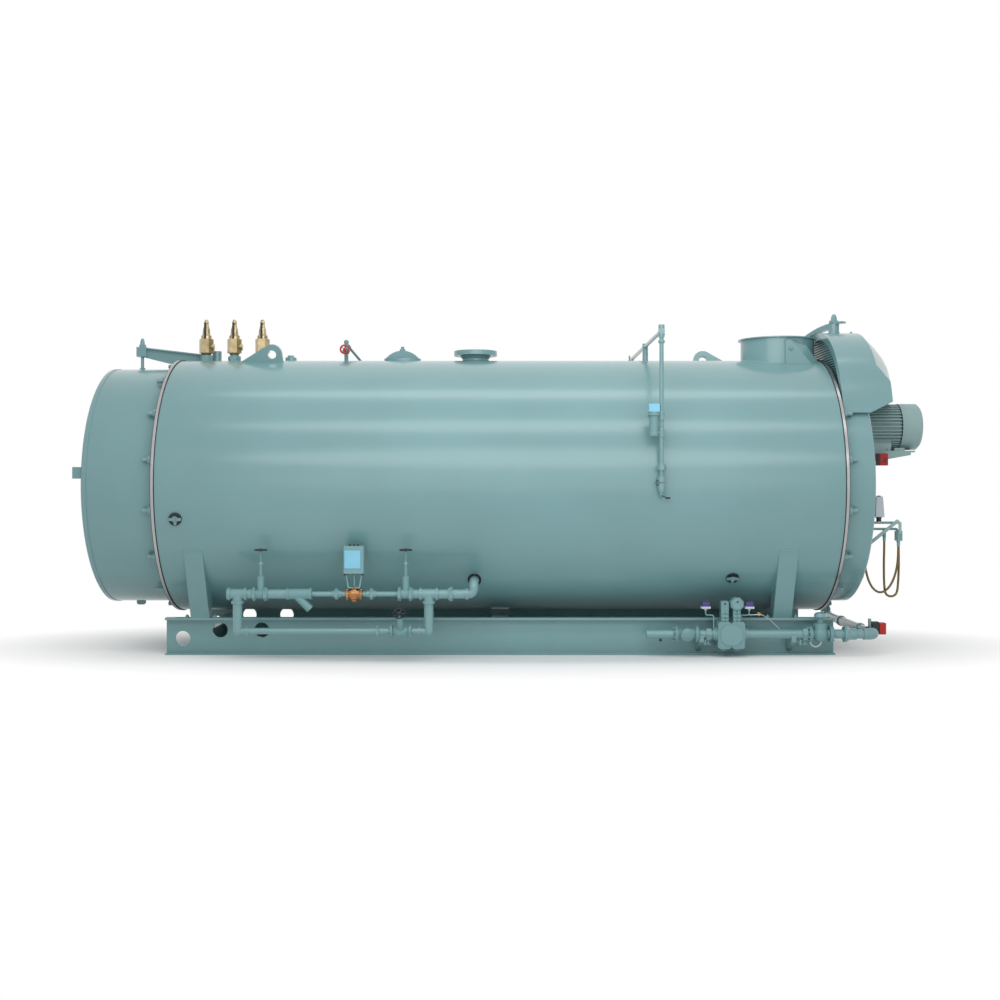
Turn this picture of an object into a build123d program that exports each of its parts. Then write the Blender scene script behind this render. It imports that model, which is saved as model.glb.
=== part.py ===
# Packaged fire-tube steam boiler on its own base, in millimetres.
# Origin on the floor under the middle of the shell; +X to the burner front, -Y to the valve side, +Z up.
from build123d import *
import math
import os

# Shell, heads and trim
shell_clearance = 370.0  # under the jacket
jacket_radius = 1280.0
jacket_length = 6540.0
jacket_wall = 130.0
trim_width = 26.0
trim_rise = 10.0
head_setback = 90.0
rear_head_depth = 685.0
front_head_depth = 276.0
head_edge = 14.0
rear_tab = (90.0, 60.0, 110.0)  # small block on the rear end plate
rear_tab_height = 115.0

axis_height = jacket_radius + shell_clearance
shell_top = axis_height + jacket_radius
head_radius = jacket_radius - head_setback
half_jacket = jacket_length / 2
front_face = half_jacket + front_head_depth
rear_face = -half_jacket - rear_head_depth

# Base: channels with their flanges outward, cross members and saddle legs
rail_setback = 14.0
rail_height = 360.0
rail_outer_y = 815.0
rail_flange = 85.0
rail_top_flange = 24.0
rail_bottom_flange = 16.0
rail_web = 14.0
rail_hole_radius = 73.0
rail_holes = [(158.0, 151.0), (524.0, 234.0), (929.0, 234.0)]  # from the rear end, above the floor
cross_width = 180.0
cross_height = 240.0
cross_web = 16.0
cross_setback = 343.0
leg_width = 180.0
leg_plate = 14.0
leg_angle = 29.0  # where the leg's top meets the shell, below the horizontal
leg_heel = 120.0
leg_setback_rear = 357.0
leg_setback_front = 528.0
rail_half = half_jacket - rail_setback
rail_inner_y = rail_outer_y - rail_flange

# Top of the shell
safety_first_x = 232.0 - half_jacket
safety_pitch = 290.0
safety_count = 3
safety_nozzle_radius = 48.0
safety_nozzle_height = 62.0
safety_hex = 128.0
safety_height = 368.0
lug_thickness = 40.0
lug_hole_radius = 43.0
lug_eye_radius = 102.0
lug_long_foot = 384.0
lug_short_foot = 111.0
lug_eye_height = 78.0
lug_tilt = 14.0
lug_rear_x = 970.0 - half_jacket
lug_front_x = half_jacket - 1120.0
plug_x = 1107.0 - half_jacket
plug_radius = 58.0
plug_rise = 36.0
plug_square = 60.0
plug_square_height = 22.0
vent_x = 1680.0 - half_jacket
vent_pipe_radius = 21.0
vent_drain_radius = 13.0
vent_height = 108.0
vent_top = 198.0
vent_body_radius = 38.0
vent_stem_reach = 150.0
vent_outlet = (140.0, 260.0)  # along and across the shell from the valve
vent_wheel_radius = 50.0
manway_x = 2262.0 - half_jacket
manway_half_length = 190.0
manway_half_width = 142.0
manway_rim = 45.0
manway_rise = 24.0
manway_cover_rise = 14.0
manway_yoke_width = 64.0
manway_yoke_thickness = 70.0
manway_yoke_top = 107.0
manway_bolt_radius = 17.0
manway_bolt_top = 150.0
steam_x = 3017.0 - half_jacket
steam_flange_diameter = 444.5
steam_flange_thickness = 47.6
steam_bolt_circle = 387.35
steam_bolt_hole = 28.6
steam_bolt_count = 16
steam_bore = 254.0
steam_neck_diameter = 273.0
steam_face_height = 101.0

# Flue outlet, fan hood and motor; every height below is from the shell axis
stack_x = half_jacket - 403.0
stack_radius = 372.0
stack_wall = 10.0
stack_flange_width = 26.0
stack_flange_thickness = 12.0
stack_bolt_hole = 14.0
stack_bolt_count = 12
stack_top = jacket_radius + 220.0
duct_half_width = stack_radius + 28.0
duct_top = jacket_radius + 178.0
duct_foot = jacket_radius - 85.0
duct_top_front = half_jacket - 200.0
duct_foot_front = half_jacket - 30.0
duct_facet = (half_jacket - 350.0, half_jacket - 123.0)  # the facet's two ends along the side
duct_facet_inward = duct_half_width - 112.0  # where it meets the front
hood_radius = 1024.0
hood_top = jacket_radius + 284.0
hood_axis = hood_top - hood_radius
hood_sheet = 14.0
hood_rear_gap = 13.0
hood_front = front_face + 102.0
hood_cheek = front_face + 217.0
hood_slant = jacket_radius - 100.0
hood_cheek_high = jacket_radius - 281.0
hood_cheek_low = jacket_radius - 482.0
hood_foot = jacket_radius - 588.0
hood_rim = 75.0
hood_recess = 70.0
louvre_count = 30
louvre_thickness = 12.0
louvre_plate = 8.0
louvre_inset = 14.0
motor_axis = jacket_radius - 680.0
motor_radius = 238.0
motor_root_radius = 205.0
motor_fin_count = 40
motor_fin_share = 0.3  # of the pitch
motor_fins_start = front_face + 94.0
motor_fins_end = front_face + 546.0
motor_end = front_face + 764.0
motor_gap = 10.0
motor_groove = 8.0
motor_foot = (front_face + 144.0, front_face + 454.0)
motor_foot_half_width = 160.0
dome_gap = 24.0  # over the motor
dome_foot = motor_axis + motor_radius + dome_gap
dome_rim_x = front_face + 162.0
dome_bow_x = front_face + 392.0
dome_bow_inset = 246.0  # from the rim towards the hood's axis
dome_face_x = front_face + 516.0
dome_face_inset = 500.0
shelf_half_width = 190.0
shelf_plate = 16.0
shelf_top = jacket_radius - 930.0
shelf_reach = front_face + 690.0
shelf_tip = 44.0
shelf_heel = 161.0
switch_box = (107.0, 90.0, 122.0)
switch_box_x = front_face + 336.0
switch_box_top = jacket_radius - 960.0

# Davits that carry the heads when they are unbolted
rear_davit_y = 130.0
rear_davit_tip = -half_jacket - 466.0
rear_davit_pivot = 313.0 - half_jacket
rear_davit_top = jacket_radius + 157.0
rear_davit_depth = 100.0
rear_davit_drop = 92.0
rear_davit_belly = (-half_jacket - 163.0, jacket_radius - 18.0)
rear_davit_clear = 60.0
davit_web = 22.0
davit_flange = 90.0
davit_flange_thickness = 14.0
davit_nut_height = 92.0
davit_rod_radius = 17.0
davit_post_radius = 48.0
front_davit_post = (half_jacket - 210.0, 470.0)
front_davit_spool_x = half_jacket + 185.0
front_davit_foot = jacket_radius + 50.0
front_davit_knee = (400.0, jacket_radius + 345.0)  # along the arm from its post, and height
front_davit_tip = (735.0, jacket_radius + 402.0)
front_davit_bar = 20.0
front_davit_depth = 70.0
front_davit_width = 70.0
front_spool_radius = 54.0
front_spool_flange = 64.0

# Water column on the near side
column_x = 1503.0
column_y = -jacket_radius - 57.0
column_top = jacket_radius + 153.0
column_foot = -100.0
column_pipe_radius = 20.0
column_box = (100.0, 86.0, 76.0)
column_box_height = 717.0
chamber_radius = 44.0
chamber_height = 218.0
chamber_top = 673.0
union_height = 140.0

# Handholes with their crossbars
handhole_radius = 62.0
handhole_rise = 16.0
handhole_x = [223.0 - half_jacket, half_jacket - 1031.0]
handhole_angles = [104.4, 134.1]  # from the top of the shell

# Feedwater train, hung in front of the shell from its nozzle
feed_y = -jacket_radius
feed_height = 261.0 - jacket_radius
feed_nozzle_height = 365.0 - jacket_radius
feed_pipe_radius = 44.45
feed_bore = 39.0
feed_bore_depth = 120.0
feed_thin_radius = 24.15
feed_bypass_radius = 30.15
feed_bypass_drop = 346.0
feed_left = -2551.0
feed_right = -246.0
feed_bend = 50.0
feed_tee_left = -2453.0
feed_tee_right = -666.0
tee_half = 88.0
band_width = 24.0
band_rise = 10.0
gate_places = [-2237.0, -881.0]
gate_half = 70.0
gate_bonnet_radius = 34.0
gate_bonnet_top = 168.0
gate_gland_height = 283.0
gate_stem_height = 411.0
wheel_radius = 60.0
wheel_rim = 7.0
wheel_seat = 0.5
hub_radius = 11.0
stem_radius = 8.0
spoke_count = 5
strainer_ends = (-1996.0, -1758.0)
strainer_branch = 202.0
strainer_branch_radius = 38.0
union_across = 82.0
union_width = 86.0
left_union_x = -1524.0
right_union_x = -1201.0
outlet_union_x = -467.0
control_x = -1362.0
control_half = 75.0
control_radius = 52.0
actuator_size = (191.0, 150.0, 258.0)
actuator_low = 194.0  # above the pipe's axis
yoke_foot = 55.0
yoke_bar = 12.0
bypass_valve_x = -928.0
bypass_valve_half = 96.0
bypass_union_x = -1145.0
bypass_flange_radius = 62.0
bypass_flange = 19.0
bypass_tilt = 45.0
bypass_stem_height = 255.0

# Gas train along the near rail, then across under the front head to the burner
gas_y = -rail_outer_y - 135.0
gas_z = 218.0
gas_far_y = -gas_y
gas_turn_x = front_face + 54.0
gas_pipe_radius = 44.45
gas_inlet_x = gas_turn_x - 2196.0
gas_plug_ends = (gas_turn_x - 1923.0, gas_turn_x - 1699.0)
gas_block_ends = (gas_turn_x - 1517.0, gas_turn_x - 1260.0)
gas_butterfly_ends = (gas_turn_x - 636.0, gas_turn_x - 411.0)
gas_unions = [gas_turn_x - 1599.0, gas_turn_x - 672.0]
gas_neck = 40.0
gas_flange_radius = 78.0
gas_flange = 28.0
gas_cover_radius = 62.0
gas_block_low = 135.0
gas_block_high = 125.0
gas_block_half_width = 80.0
gas_block_notch = 20.0
gas_block_bevel = 18.0
gas_cap_radius = 33.0
gas_cap_depth = 24.0
gas_actuator = (74.0, 90.0, 196.0)
gas_actuator_spread = 57.0  # of each from the block's middle
gas_head_radius = 58.0
gas_head_height = 292.0
gas_reducer_x = gas_turn_x - 240.0
gas_reducer_half = 60.0
gas_bend = 70.0
gas_elbow = 110.0
gas_bracket_places = [gas_turn_x - 1670.0, gas_turn_x - 785.0]
gas_bracket_width = 45.0
gas_bracket_heel = 30.0
gas_switch = (90.0, 80.0, 64.0)
gas_switch_plate = 18.0
gas_switch_inset = 10.0
gas_switch_low = 247.0
gas_switch_places = [gas_turn_x - 1625.0, gas_turn_x - 1207.0]
gas_tap_places = [gas_turn_x - 1546.0, gas_turn_x - 1286.0]
gas_tube_radius = 7.0
gas_tube_drop = 65.0
gas_motor_y = gas_y + 170.0
gas_motor_radius = 40.0
gas_motor_box = (62.0, 100.0, 112.0)
gas_motor_lift = 36.0
gas_motor_shaft = 20.0
gas_lever = 85.0

# Pilot piping and the two braided hoses on the burner front
pilot_y = -640.0
pilot_radius = 12.0
pilot_upper = -371.0
pilot_lower = -433.0
pilot_reach = front_face + 392.0
pilot_return = pilot_reach - 26.0
pilot_tee_x = pilot_reach - 153.0
pilot_tee_foot = -497.0
pilot_block_low = -548.0
pilot_block_high = -452.0
pilot_block_half = (24.0, 50.0)
pilot_strut_width = 30.0
pilot_strut_thickness = 6.0
pilot_strut_heel = -659.0
pilot_strut_tip = (pilot_reach - 42.0, -335.0)
solenoid_x = front_face + 185.0
solenoid_half = (43.0, 45.0)
solenoid_low = -315.0
solenoid_high = -113.0
solenoid_neck = 20.0
hose_radius = 11.0
hose_socket_x = front_face + 44.0
hose_socket_height = -655.0
hose_socket_end = -700.0
narrow_port_x = pilot_reach - 1.0
wide_port_x = pilot_reach - 25.0
hose_port_offset = 34.0  # of each port across the manifold
narrow_hose = [  # share of the way from the tee to its port, height from the shell axis
    (0, pilot_tee_foot), (0, -610), (-0.02, -740), (-0.013, -870), (0.013, -985),
    (0.073, -1066), (0.307, -1097.5), (0.627, -1097.5), (0.867, -1066),
    (0.94, -985), (0.987, -870), (1.01, -745), (1, -640), (1, pilot_block_low),
]
wide_hose = [  # share of the way from its port to the socket
    (0, pilot_block_low), (0, -660), (0.024, -790), (0.121, -920), (0.285, -1018), (0.509, -1064),
    (0.721, -1034), (0.873, -954), (0.958, -850), (1, -760), (1, hose_socket_end),
]
burner_radius = 330.0
burner_height = -330.0
burner_depth = 140.0


def upright(x, y, z):
    return Plane(origin=(x, y, z), x_dir=(1, 0, 0), z_dir=(0, 0, 1))


def forward(x, y, z):
    return Plane(origin=(x, y, z), x_dir=(0, 1, 0), z_dir=(1, 0, 0))


def sideways(x, y, z):
    return Plane(origin=(x, y, z), x_dir=(1, 0, 0), z_dir=(0, -1, 0))


def turned(plane, outline):
    """Solid of revolution about the plane's own z axis, from (radius, height) points."""
    points = [(radius, 0, height) for radius, height in outline]
    return plane * revolve(make_face(Polyline(*points, close=True)), Axis.Z)


def rod(start, end, radius):
    run = Vector(end) - Vector(start)
    lower_end = (Align.CENTER, Align.CENTER, Align.MIN)
    return Plane(origin=start, z_dir=run) * Cylinder(radius, run.length, align=lower_end)


def piped(points, radius, bend):
    """Pipe along straight runs with round bends."""
    path = FilletPolyline(*points, radius=bend)
    return sweep(Plane(origin=path @ 0, z_dir=path % 0) * Circle(radius), path=path)


def hexed(plane, across, height):
    return plane * extrude(RegularPolygon(across / math.sqrt(3), 6), height)


def block(low, high):
    size = [b - a for a, b in zip(low, high)]
    corner = (Align.MIN, Align.MIN, Align.MIN)
    return Pos(*low) * Box(*size, align=corner)


def slab(plane, outline, thickness):
    """Flat outline extruded by half its thickness to each side of the plane."""
    face = plane * make_face(Polyline(*outline, close=True))
    return extrude(face, thickness / 2, both=True)


def fused(*pieces):
    return sum(pieces[1:], pieces[0])


def save(name, *pieces):
    solids = [solid for piece in pieces for solid in piece.solids()]
    export_step(Compound(solids) if len(solids) > 1 else solids[0], f"parts/{name}.step")


def around_shell(radius, margin=0.0):
    """Solid cylinder on the shell's axis, used to seat pieces on round faces."""
    length = jacket_length + 2 * margin
    return forward(0, 0, axis_height) * Cylinder(radius, length)


jacket_solid = around_shell(jacket_radius)


def make_shell():
    wall = jacket_solid - around_shell(jacket_radius - jacket_wall, margin=jacket_wall)
    save("jacket_shell", wall)
    ring = [
        (jacket_radius, 0),
        (jacket_radius + trim_rise, 0),
        (jacket_radius + trim_rise, trim_width),
        (jacket_radius, trim_width),
    ]
    rear_ring = turned(forward(-half_jacket, 0, axis_height), ring)
    front_ring = turned(forward(half_jacket - trim_width, 0, axis_height), ring)
    save("trim_rings", rear_ring, front_ring)


def head(start, depth):
    """Flat-ended drum with a bevelled outer edge; depth is negative towards the rear."""
    edge = math.copysign(head_edge, depth)
    outline = [
        (0, 0),
        (head_radius, 0),
        (head_radius, depth - edge),
        (head_radius - head_edge, depth),
        (0, depth),
    ]
    return turned(forward(start, 0, axis_height), outline)


def make_heads():
    tab_length, tab_width, tab_tall = rear_tab
    tab_y = -head_radius + tab_width + head_edge
    tab_z = axis_height + rear_tab_height - tab_tall / 2
    tab = block(
        (rear_face - tab_length, tab_y - tab_width / 2, tab_z),
        (rear_face, tab_y + tab_width / 2, tab_z + tab_tall),
    )
    save("rear_head", fused(head(-half_jacket, -rear_head_depth), tab))
    save("front_head", fused(head(half_jacket, front_head_depth), burner_solid()))


def base_rail(side):
    """Long channel; side is -1 on the near side and 1 on the far one."""
    outline = [
        (rail_inner_y, 0),
        (rail_outer_y, 0),
        (rail_outer_y, rail_bottom_flange),
        (rail_inner_y + rail_web, rail_bottom_flange),
        (rail_inner_y + rail_web, rail_height - rail_top_flange),
        (rail_outer_y, rail_height - rail_top_flange),
        (rail_outer_y, rail_height),
        (rail_inner_y, rail_height),
    ]
    section = [(side * y, z) for y, z in outline]
    rail = slab(Plane.YZ, section, 2 * rail_half)
    for from_end, height in rail_holes:
        x = from_end - rail_half
        start = (x, side * (rail_inner_y - rail_web), height)
        rail -= rod(start, (x, side * rail_outer_y, height), rail_hole_radius)
    return rail


def cross_member(x):
    """Channel across the base, standing on the floor between the two rails."""
    half = cross_width / 2
    outline = [
        (-half, 0),
        (half, 0),
        (half, cross_web),
        (cross_web - half, cross_web),
        (cross_web - half, cross_height - cross_web),
        (half, cross_height - cross_web),
        (half, cross_height),
        (-half, cross_height),
    ]
    return slab(Plane((x, 0, 0), x_dir=(1, 0, 0), z_dir=(0, -1, 0)), outline, 2 * rail_inner_y)


def saddle_leg(x, side):
    """Leaning leg: a front plate with two side plates that follow the shell."""
    slope = math.radians(leg_angle)
    top_y = jacket_radius * math.cos(slope)
    top_z = axis_height - jacket_radius * math.sin(slope)
    heel_y = rail_outer_y - leg_heel
    outline = [(rail_outer_y, rail_height), (top_y, top_z), (heel_y, top_z), (heel_y, rail_height)]
    lean = leg_plate * math.hypot(1, (top_y - rail_outer_y) / (top_z - rail_height))
    pocket = [(y - lean, z) for y, z in outline]
    plane = Plane.YZ.offset(x)
    leg = slab(plane, [(side * y, z) for y, z in outline], leg_width)
    leg -= slab(plane, [(side * y, z) for y, z in pocket], leg_width - 2 * leg_plate)
    return leg - jacket_solid


def make_base():
    save("base_rail_near", base_rail(-1))
    save("base_rail_far", base_rail(1))
    outer = rail_half - cross_setback
    save("cross_members", *[cross_member(x) for x in (-outer, 0, outer)])
    legs = {"saddle_rear": leg_setback_rear - half_jacket, "saddle_front": half_jacket - leg_setback_front}
    for name, x in legs.items():
        save(name, saddle_leg(x, -1), saddle_leg(x, 1))


def safety_valve(x):
    """Brass pop valve: hexagon body, collar, tapered bonnet and ball top."""
    foot = shell_top + safety_nozzle_height
    waist = 0.45 * safety_height
    half = safety_hex / 2
    body = hexed(upright(x, 0, foot + half / 3), safety_hex, waist - half / 3)
    bonnet = turned(
        upright(x, 0, foot),
        [
            (0, 0),
            (0.62 * half, 0),
            (0.94 * half, half / 3),
            (0.94 * half, waist),
            (0.84 * half, waist),
            (0.84 * half, waist + half / 2),
            (0.62 * half, waist + 0.75 * half),
            (0.55 * half, waist + 1.6 * half),
            (0.36 * half, waist + 2.2 * half),
            (0.36 * half, safety_height - half / 3),
            (0.2 * half, safety_height),
            (0, safety_height),
        ],
    )
    outlet = hexed(forward(x, 0, foot + waist / 2), half, 1.3 * half)
    return fused(body, bonnet, outlet)


def make_safety_valves():
    places = [safety_first_x + i * safety_pitch for i in range(safety_count)]
    foot = shell_top + safety_nozzle_height
    valves = [safety_valve(x) for x in places]
    save("safety_valves", *valves)
    nozzles = []
    levers = []
    half = safety_hex / 2
    for x, valve in zip(places, valves):
        nozzle = rod((x, 0, axis_height), (x, 0, foot), safety_nozzle_radius)
        nozzles.append(nozzle - jacket_solid)
        low = (x - half / 6, -half, foot + 0.45 * safety_height)
        blade = block(low, (x + half / 6, -0.8 * half, foot + 0.9 * safety_height))
        top = block(
            (x - half / 6, -half, foot + 0.86 * safety_height),
            (x + half / 6, 0, foot + 0.9 * safety_height),
        )
        levers.append(fused(blade, top) - valve)
    save("safety_nozzles", *nozzles)
    save("safety_levers", *levers)


def lifting_lug(x, lean, side):
    """Radial plate with an eye; lean is the way the long foot runs, side the way it tips."""
    eye = jacket_radius + lug_eye_height
    floor = jacket_radius * math.cos(math.radians(lug_tilt))
    foot = Polyline((lean * lug_long_foot, floor), (-lean * lug_short_foot, floor))
    outline = make_hull([*foot.edges(), *(Pos(0, eye) * Circle(lug_eye_radius)).edges()])
    outline -= Pos(0, eye) * Circle(lug_hole_radius)
    tilt = math.radians(lug_tilt)
    normal = (0, -math.cos(tilt), side * math.sin(tilt))
    plane = Plane(origin=(x, 0, axis_height), x_dir=(1, 0, 0), z_dir=normal)
    return extrude(plane * outline, lug_thickness / 2, both=True) - jacket_solid


def make_top_fittings():
    save("lifting_lugs", lifting_lug(lug_rear_x, -1, -1), lifting_lug(lug_front_x, 1, 1))
    coupling = rod((plug_x, 0, axis_height), (plug_x, 0, shell_top + plug_rise), plug_radius)
    square = Pos(plug_x, 0, shell_top + plug_rise + plug_square_height / 2) * Box(
        plug_square, plug_square, plug_square_height
    )
    save("top_plug", fused(coupling - jacket_solid, square))


def make_vent_valve():
    body_z = shell_top + vent_height
    top_z = shell_top + vent_top
    along, outlet_y = vent_outlet
    outlet_x = vent_x + along
    foot_z = axis_height + math.sqrt(jacket_radius**2 - outlet_y**2) + 2 * vent_pipe_radius
    riser = rod((vent_x, 0, axis_height), (vent_x, 0, top_z), vent_pipe_radius) - jacket_solid
    cap = Pos(vent_x, 0, top_z) * Sphere(1.2 * vent_pipe_radius)
    socket = rod((outlet_x, outlet_y, axis_height), (outlet_x, outlet_y, foot_z), vent_pipe_radius)
    start = Vector(vent_x, 0, top_z - vent_pipe_radius)
    end = Vector(outlet_x, outlet_y, foot_z - vent_pipe_radius / 2)
    way = (end - start).normalized()
    union = rod(start + way * 1.5 * vent_pipe_radius, start + way * 3 * vent_pipe_radius, vent_pipe_radius)
    drain = fused(rod(start, end, vent_drain_radius), union, socket - jacket_solid)
    body = Pos(vent_x, 0, body_z) * Sphere(vent_body_radius)
    stem_end = vent_stem_reach - 2 * wheel_rim
    bonnet = turned(
        sideways(vent_x, 0, body_z),
        [
            (0, 0),
            (vent_pipe_radius, 0),
            (vent_pipe_radius, 0.5 * vent_stem_reach),
            (stem_radius, 0.6 * vent_stem_reach),
            (stem_radius, stem_end),
            (0, stem_end),
        ],
    )
    save("vent_valve", fused(riser, cap, drain, body, bonnet))
    save("vent_wheel", handwheel(sideways(vent_x, -stem_end - wheel_seat, body_z), vent_wheel_radius))


def handwheel(plane, radius):
    """Rim, five spokes and a hub; the plane's z axis is the stem, from the hub's foot."""
    middle = 2 * wheel_rim
    hub = turned(plane, [(0, 0), (hub_radius, 0), (hub_radius, 2 * middle), (0, 2 * middle)])
    rim_box = [
        (radius - wheel_rim, middle - 0.7 * wheel_rim),
        (radius - 0.3 * wheel_rim, middle - wheel_rim),
        (radius, middle),
        (radius - 0.3 * wheel_rim, middle + wheel_rim),
        (radius - wheel_rim, middle + 0.7 * wheel_rim),
    ]
    rim = turned(plane, rim_box)
    spokes = []
    for i in range(spoke_count):
        turn = Rot(0, 0, 360 * i / spoke_count)
        reach = radius - 0.6 * wheel_rim
        spokes.append(plane * turn * Pos(reach / 2, 0, middle) * Box(reach, wheel_rim, wheel_rim))
    return fused(hub, rim, *spokes)


def ellipse_prism(half_length, half_width, low, high):
    return extrude(Pos(manway_x, 0, low) * Ellipse(half_length, half_width), high - low)


def make_manway():
    rim_top = shell_top + manway_rise
    inner = (manway_half_length - manway_rim, manway_half_width - manway_rim)
    low = axis_height + 0.9 * jacket_radius
    ring = ellipse_prism(manway_half_length, manway_half_width, low, rim_top)
    ring = ring - ellipse_prism(*inner, low, rim_top) - jacket_solid
    cover_top = shell_top + manway_cover_rise
    cover = ellipse_prism(*inner, low, cover_top) - jacket_solid
    save("manway_frame", ring)
    save("manway_cover", cover)
    reach = manway_half_length - manway_yoke_thickness / 4
    upper = ThreePointArc((-reach, manway_rise), (0, manway_yoke_top), (reach, manway_rise))
    inside = reach - manway_yoke_thickness
    under = manway_yoke_top - manway_yoke_thickness
    lower = ThreePointArc((inside, manway_rise), (0, under), (-inside, manway_rise))
    ends = [Line(upper @ 1, lower @ 0), Line(lower @ 1, upper @ 0)]
    plane = sideways(manway_x, 0, shell_top)
    arch = extrude(plane * make_face([upper, ends[0], lower, ends[1]]), manway_yoke_width / 2, both=True)
    bolt_top = shell_top + manway_bolt_top
    bolt = rod((manway_x, 0, cover_top), (manway_x, 0, bolt_top), manway_bolt_radius)
    seat = upright(manway_x, 0, shell_top + manway_yoke_top)
    nut = hexed(seat, 3 * manway_bolt_radius, manway_bolt_radius)
    save("manway_yoke", fused(arch, bolt, nut))


def make_steam_nozzle():
    face = shell_top + steam_face_height
    flange_foot = face - steam_flange_thickness
    neck = steam_neck_diameter / 2
    body = turned(
        upright(steam_x, 0, 0),
        [
            (steam_bore / 2, axis_height),
            (neck, axis_height),
            (neck, flange_foot - neck / 4),
            (neck + neck / 5, flange_foot),
            (steam_flange_diameter / 2, flange_foot),
            (steam_flange_diameter / 2, face),
            (steam_bore / 2, face),
        ],
    )
    for i in range(steam_bolt_count):
        angle = 2 * math.pi * (i + 0.5) / steam_bolt_count
        x = steam_x + steam_bolt_circle / 2 * math.cos(angle)
        y = steam_bolt_circle / 2 * math.sin(angle)
        body -= rod((x, y, flange_foot - neck / 4), (x, y, face), steam_bolt_hole / 2)
    save("steam_nozzle", body - jacket_solid)


def from_axis(points):
    """Heights given from the shell's axis, turned into heights above the floor."""
    return [(along, axis_height + height) for along, height in points]


def make_flue():
    inner = stack_radius - stack_wall
    rim = stack_radius + stack_flange_width
    flange_foot = stack_top - stack_flange_thickness
    stub = turned(
        upright(stack_x, 0, axis_height),
        [
            (inner, 0),
            (stack_radius, 0),
            (stack_radius, flange_foot),
            (rim, flange_foot),
            (rim, stack_top),
            (inner, stack_top),
        ],
    )
    bolt_circle = stack_radius + stack_flange_width / 2
    for i in range(stack_bolt_count):
        angle = 2 * math.pi * (i + 0.5) / stack_bolt_count
        x, y = stack_x + bolt_circle * math.cos(angle), bolt_circle * math.sin(angle)
        stub -= rod((x, y, axis_height + flange_foot), (x, y, axis_height + stack_top), stack_bolt_hole / 2)
    save("stack_outlet", stub - jacket_solid)
    outline = [
        (stack_x, 0),
        (stack_x, duct_top),
        (duct_top_front, duct_top),
        (duct_foot_front, duct_foot),
        (duct_foot_front, 0),
    ]
    duct = slab(sideways(0, 0, 0), from_axis(outline), 2 * duct_half_width)
    upper, lower = duct_facet
    for side in (-1, 1):
        corner = Vector(upper, side * duct_half_width, axis_height + duct_top)
        along_side = Vector(lower, side * duct_half_width, axis_height + duct_foot) - corner
        across_top = Vector(duct_top_front, side * duct_facet_inward, axis_height + duct_top) - corner
        facet = Plane(origin=corner, x_dir=along_side, z_dir=across_top.cross(along_side) * side)
        duct = split(duct, facet, keep=Keep.BOTTOM)
    room = rod((stack_x, 0, axis_height), (stack_x, 0, axis_height + stack_top), stack_radius)
    save("flue_duct", duct - room - jacket_solid)


def hood_cylinder(start, end, radius):
    height = axis_height + hood_axis
    return rod((start, 0, height), (end, 0, height), radius)


def hood_dome(rim):
    """Front of the hood: a bowed cover with a flat face, cut level above the motor."""
    face = rim - dome_face_inset
    bow = ThreePointArc((rim, 0, dome_rim_x), (rim - dome_bow_inset, 0, dome_bow_x), (face, 0, dome_face_x))
    flat = Polyline(bow @ 1, (0, 0, dome_face_x), (0, 0, hood_front), (rim, 0, hood_front), bow @ 0)
    dome = forward(0, 0, axis_height + hood_axis) * revolve(make_face([bow, flat]), Axis.Z)
    return dome - block((hood_front, -rim, 0), (dome_face_x, rim, axis_height + dome_foot))


def make_hood():
    start = half_jacket + hood_rear_gap
    wide = 3 * hood_radius
    view = sideways(0, 0, 0)
    slope = (hood_cheek_low - hood_foot) / (hood_cheek - front_face)
    front_low = hood_foot + slope * (hood_front - front_face)
    over = hood_axis + hood_radius + hood_rim
    side_outline = [
        (start, hood_foot),
        (start, over),
        (hood_front, over),
        (hood_front, front_low),
        (front_face, hood_foot),
    ]
    cheek_outline = [
        (hood_front, front_low),
        (hood_front, hood_slant),
        (hood_cheek, hood_cheek_high),
        (hood_cheek, hood_cheek_low),
    ]
    head_room = rod((half_jacket, 0, axis_height), (front_face, 0, axis_height), head_radius)
    motor_room = rod(
        (front_face, 0, axis_height + motor_axis),
        (hood_cheek, 0, axis_height + motor_axis),
        motor_radius + motor_gap,
    )
    drum = hood_cylinder(start, hood_front, hood_radius) & slab(view, from_axis(side_outline), wide)
    inside = hood_radius - hood_sheet
    ring = hood_cylinder(hood_front, hood_cheek, hood_radius) - hood_cylinder(hood_front, hood_cheek, inside)
    cheeks = ring & slab(view, from_axis(cheek_outline), wide)
    opening = hood_radius - hood_rim
    pocket = hood_cylinder(start, start + hood_recess, opening)
    save("fan_hood", fused(drum - head_room - pocket - motor_room, cheeks))

    plate_front = start + hood_recess
    grille = hood_cylinder(start + louvre_inset, plate_front, opening) - head_room
    top = axis_height + hood_axis + opening
    pitch = (top - axis_height - hood_foot) / (louvre_count + 1)
    for i in range(louvre_count + 1):
        low = top - (i + 1) * pitch + louvre_thickness
        slot = block(
            (start, -hood_radius, low),
            (plate_front - louvre_plate, hood_radius, low + pitch - louvre_thickness),
        )
        grille -= slot
    grille -= block(
        (start, -wide, 0), (plate_front, wide, axis_height + hood_foot + louvre_thickness)
    )
    save("intake_louvres", grille)

    save("hood_cover", hood_dome(inside))


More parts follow.
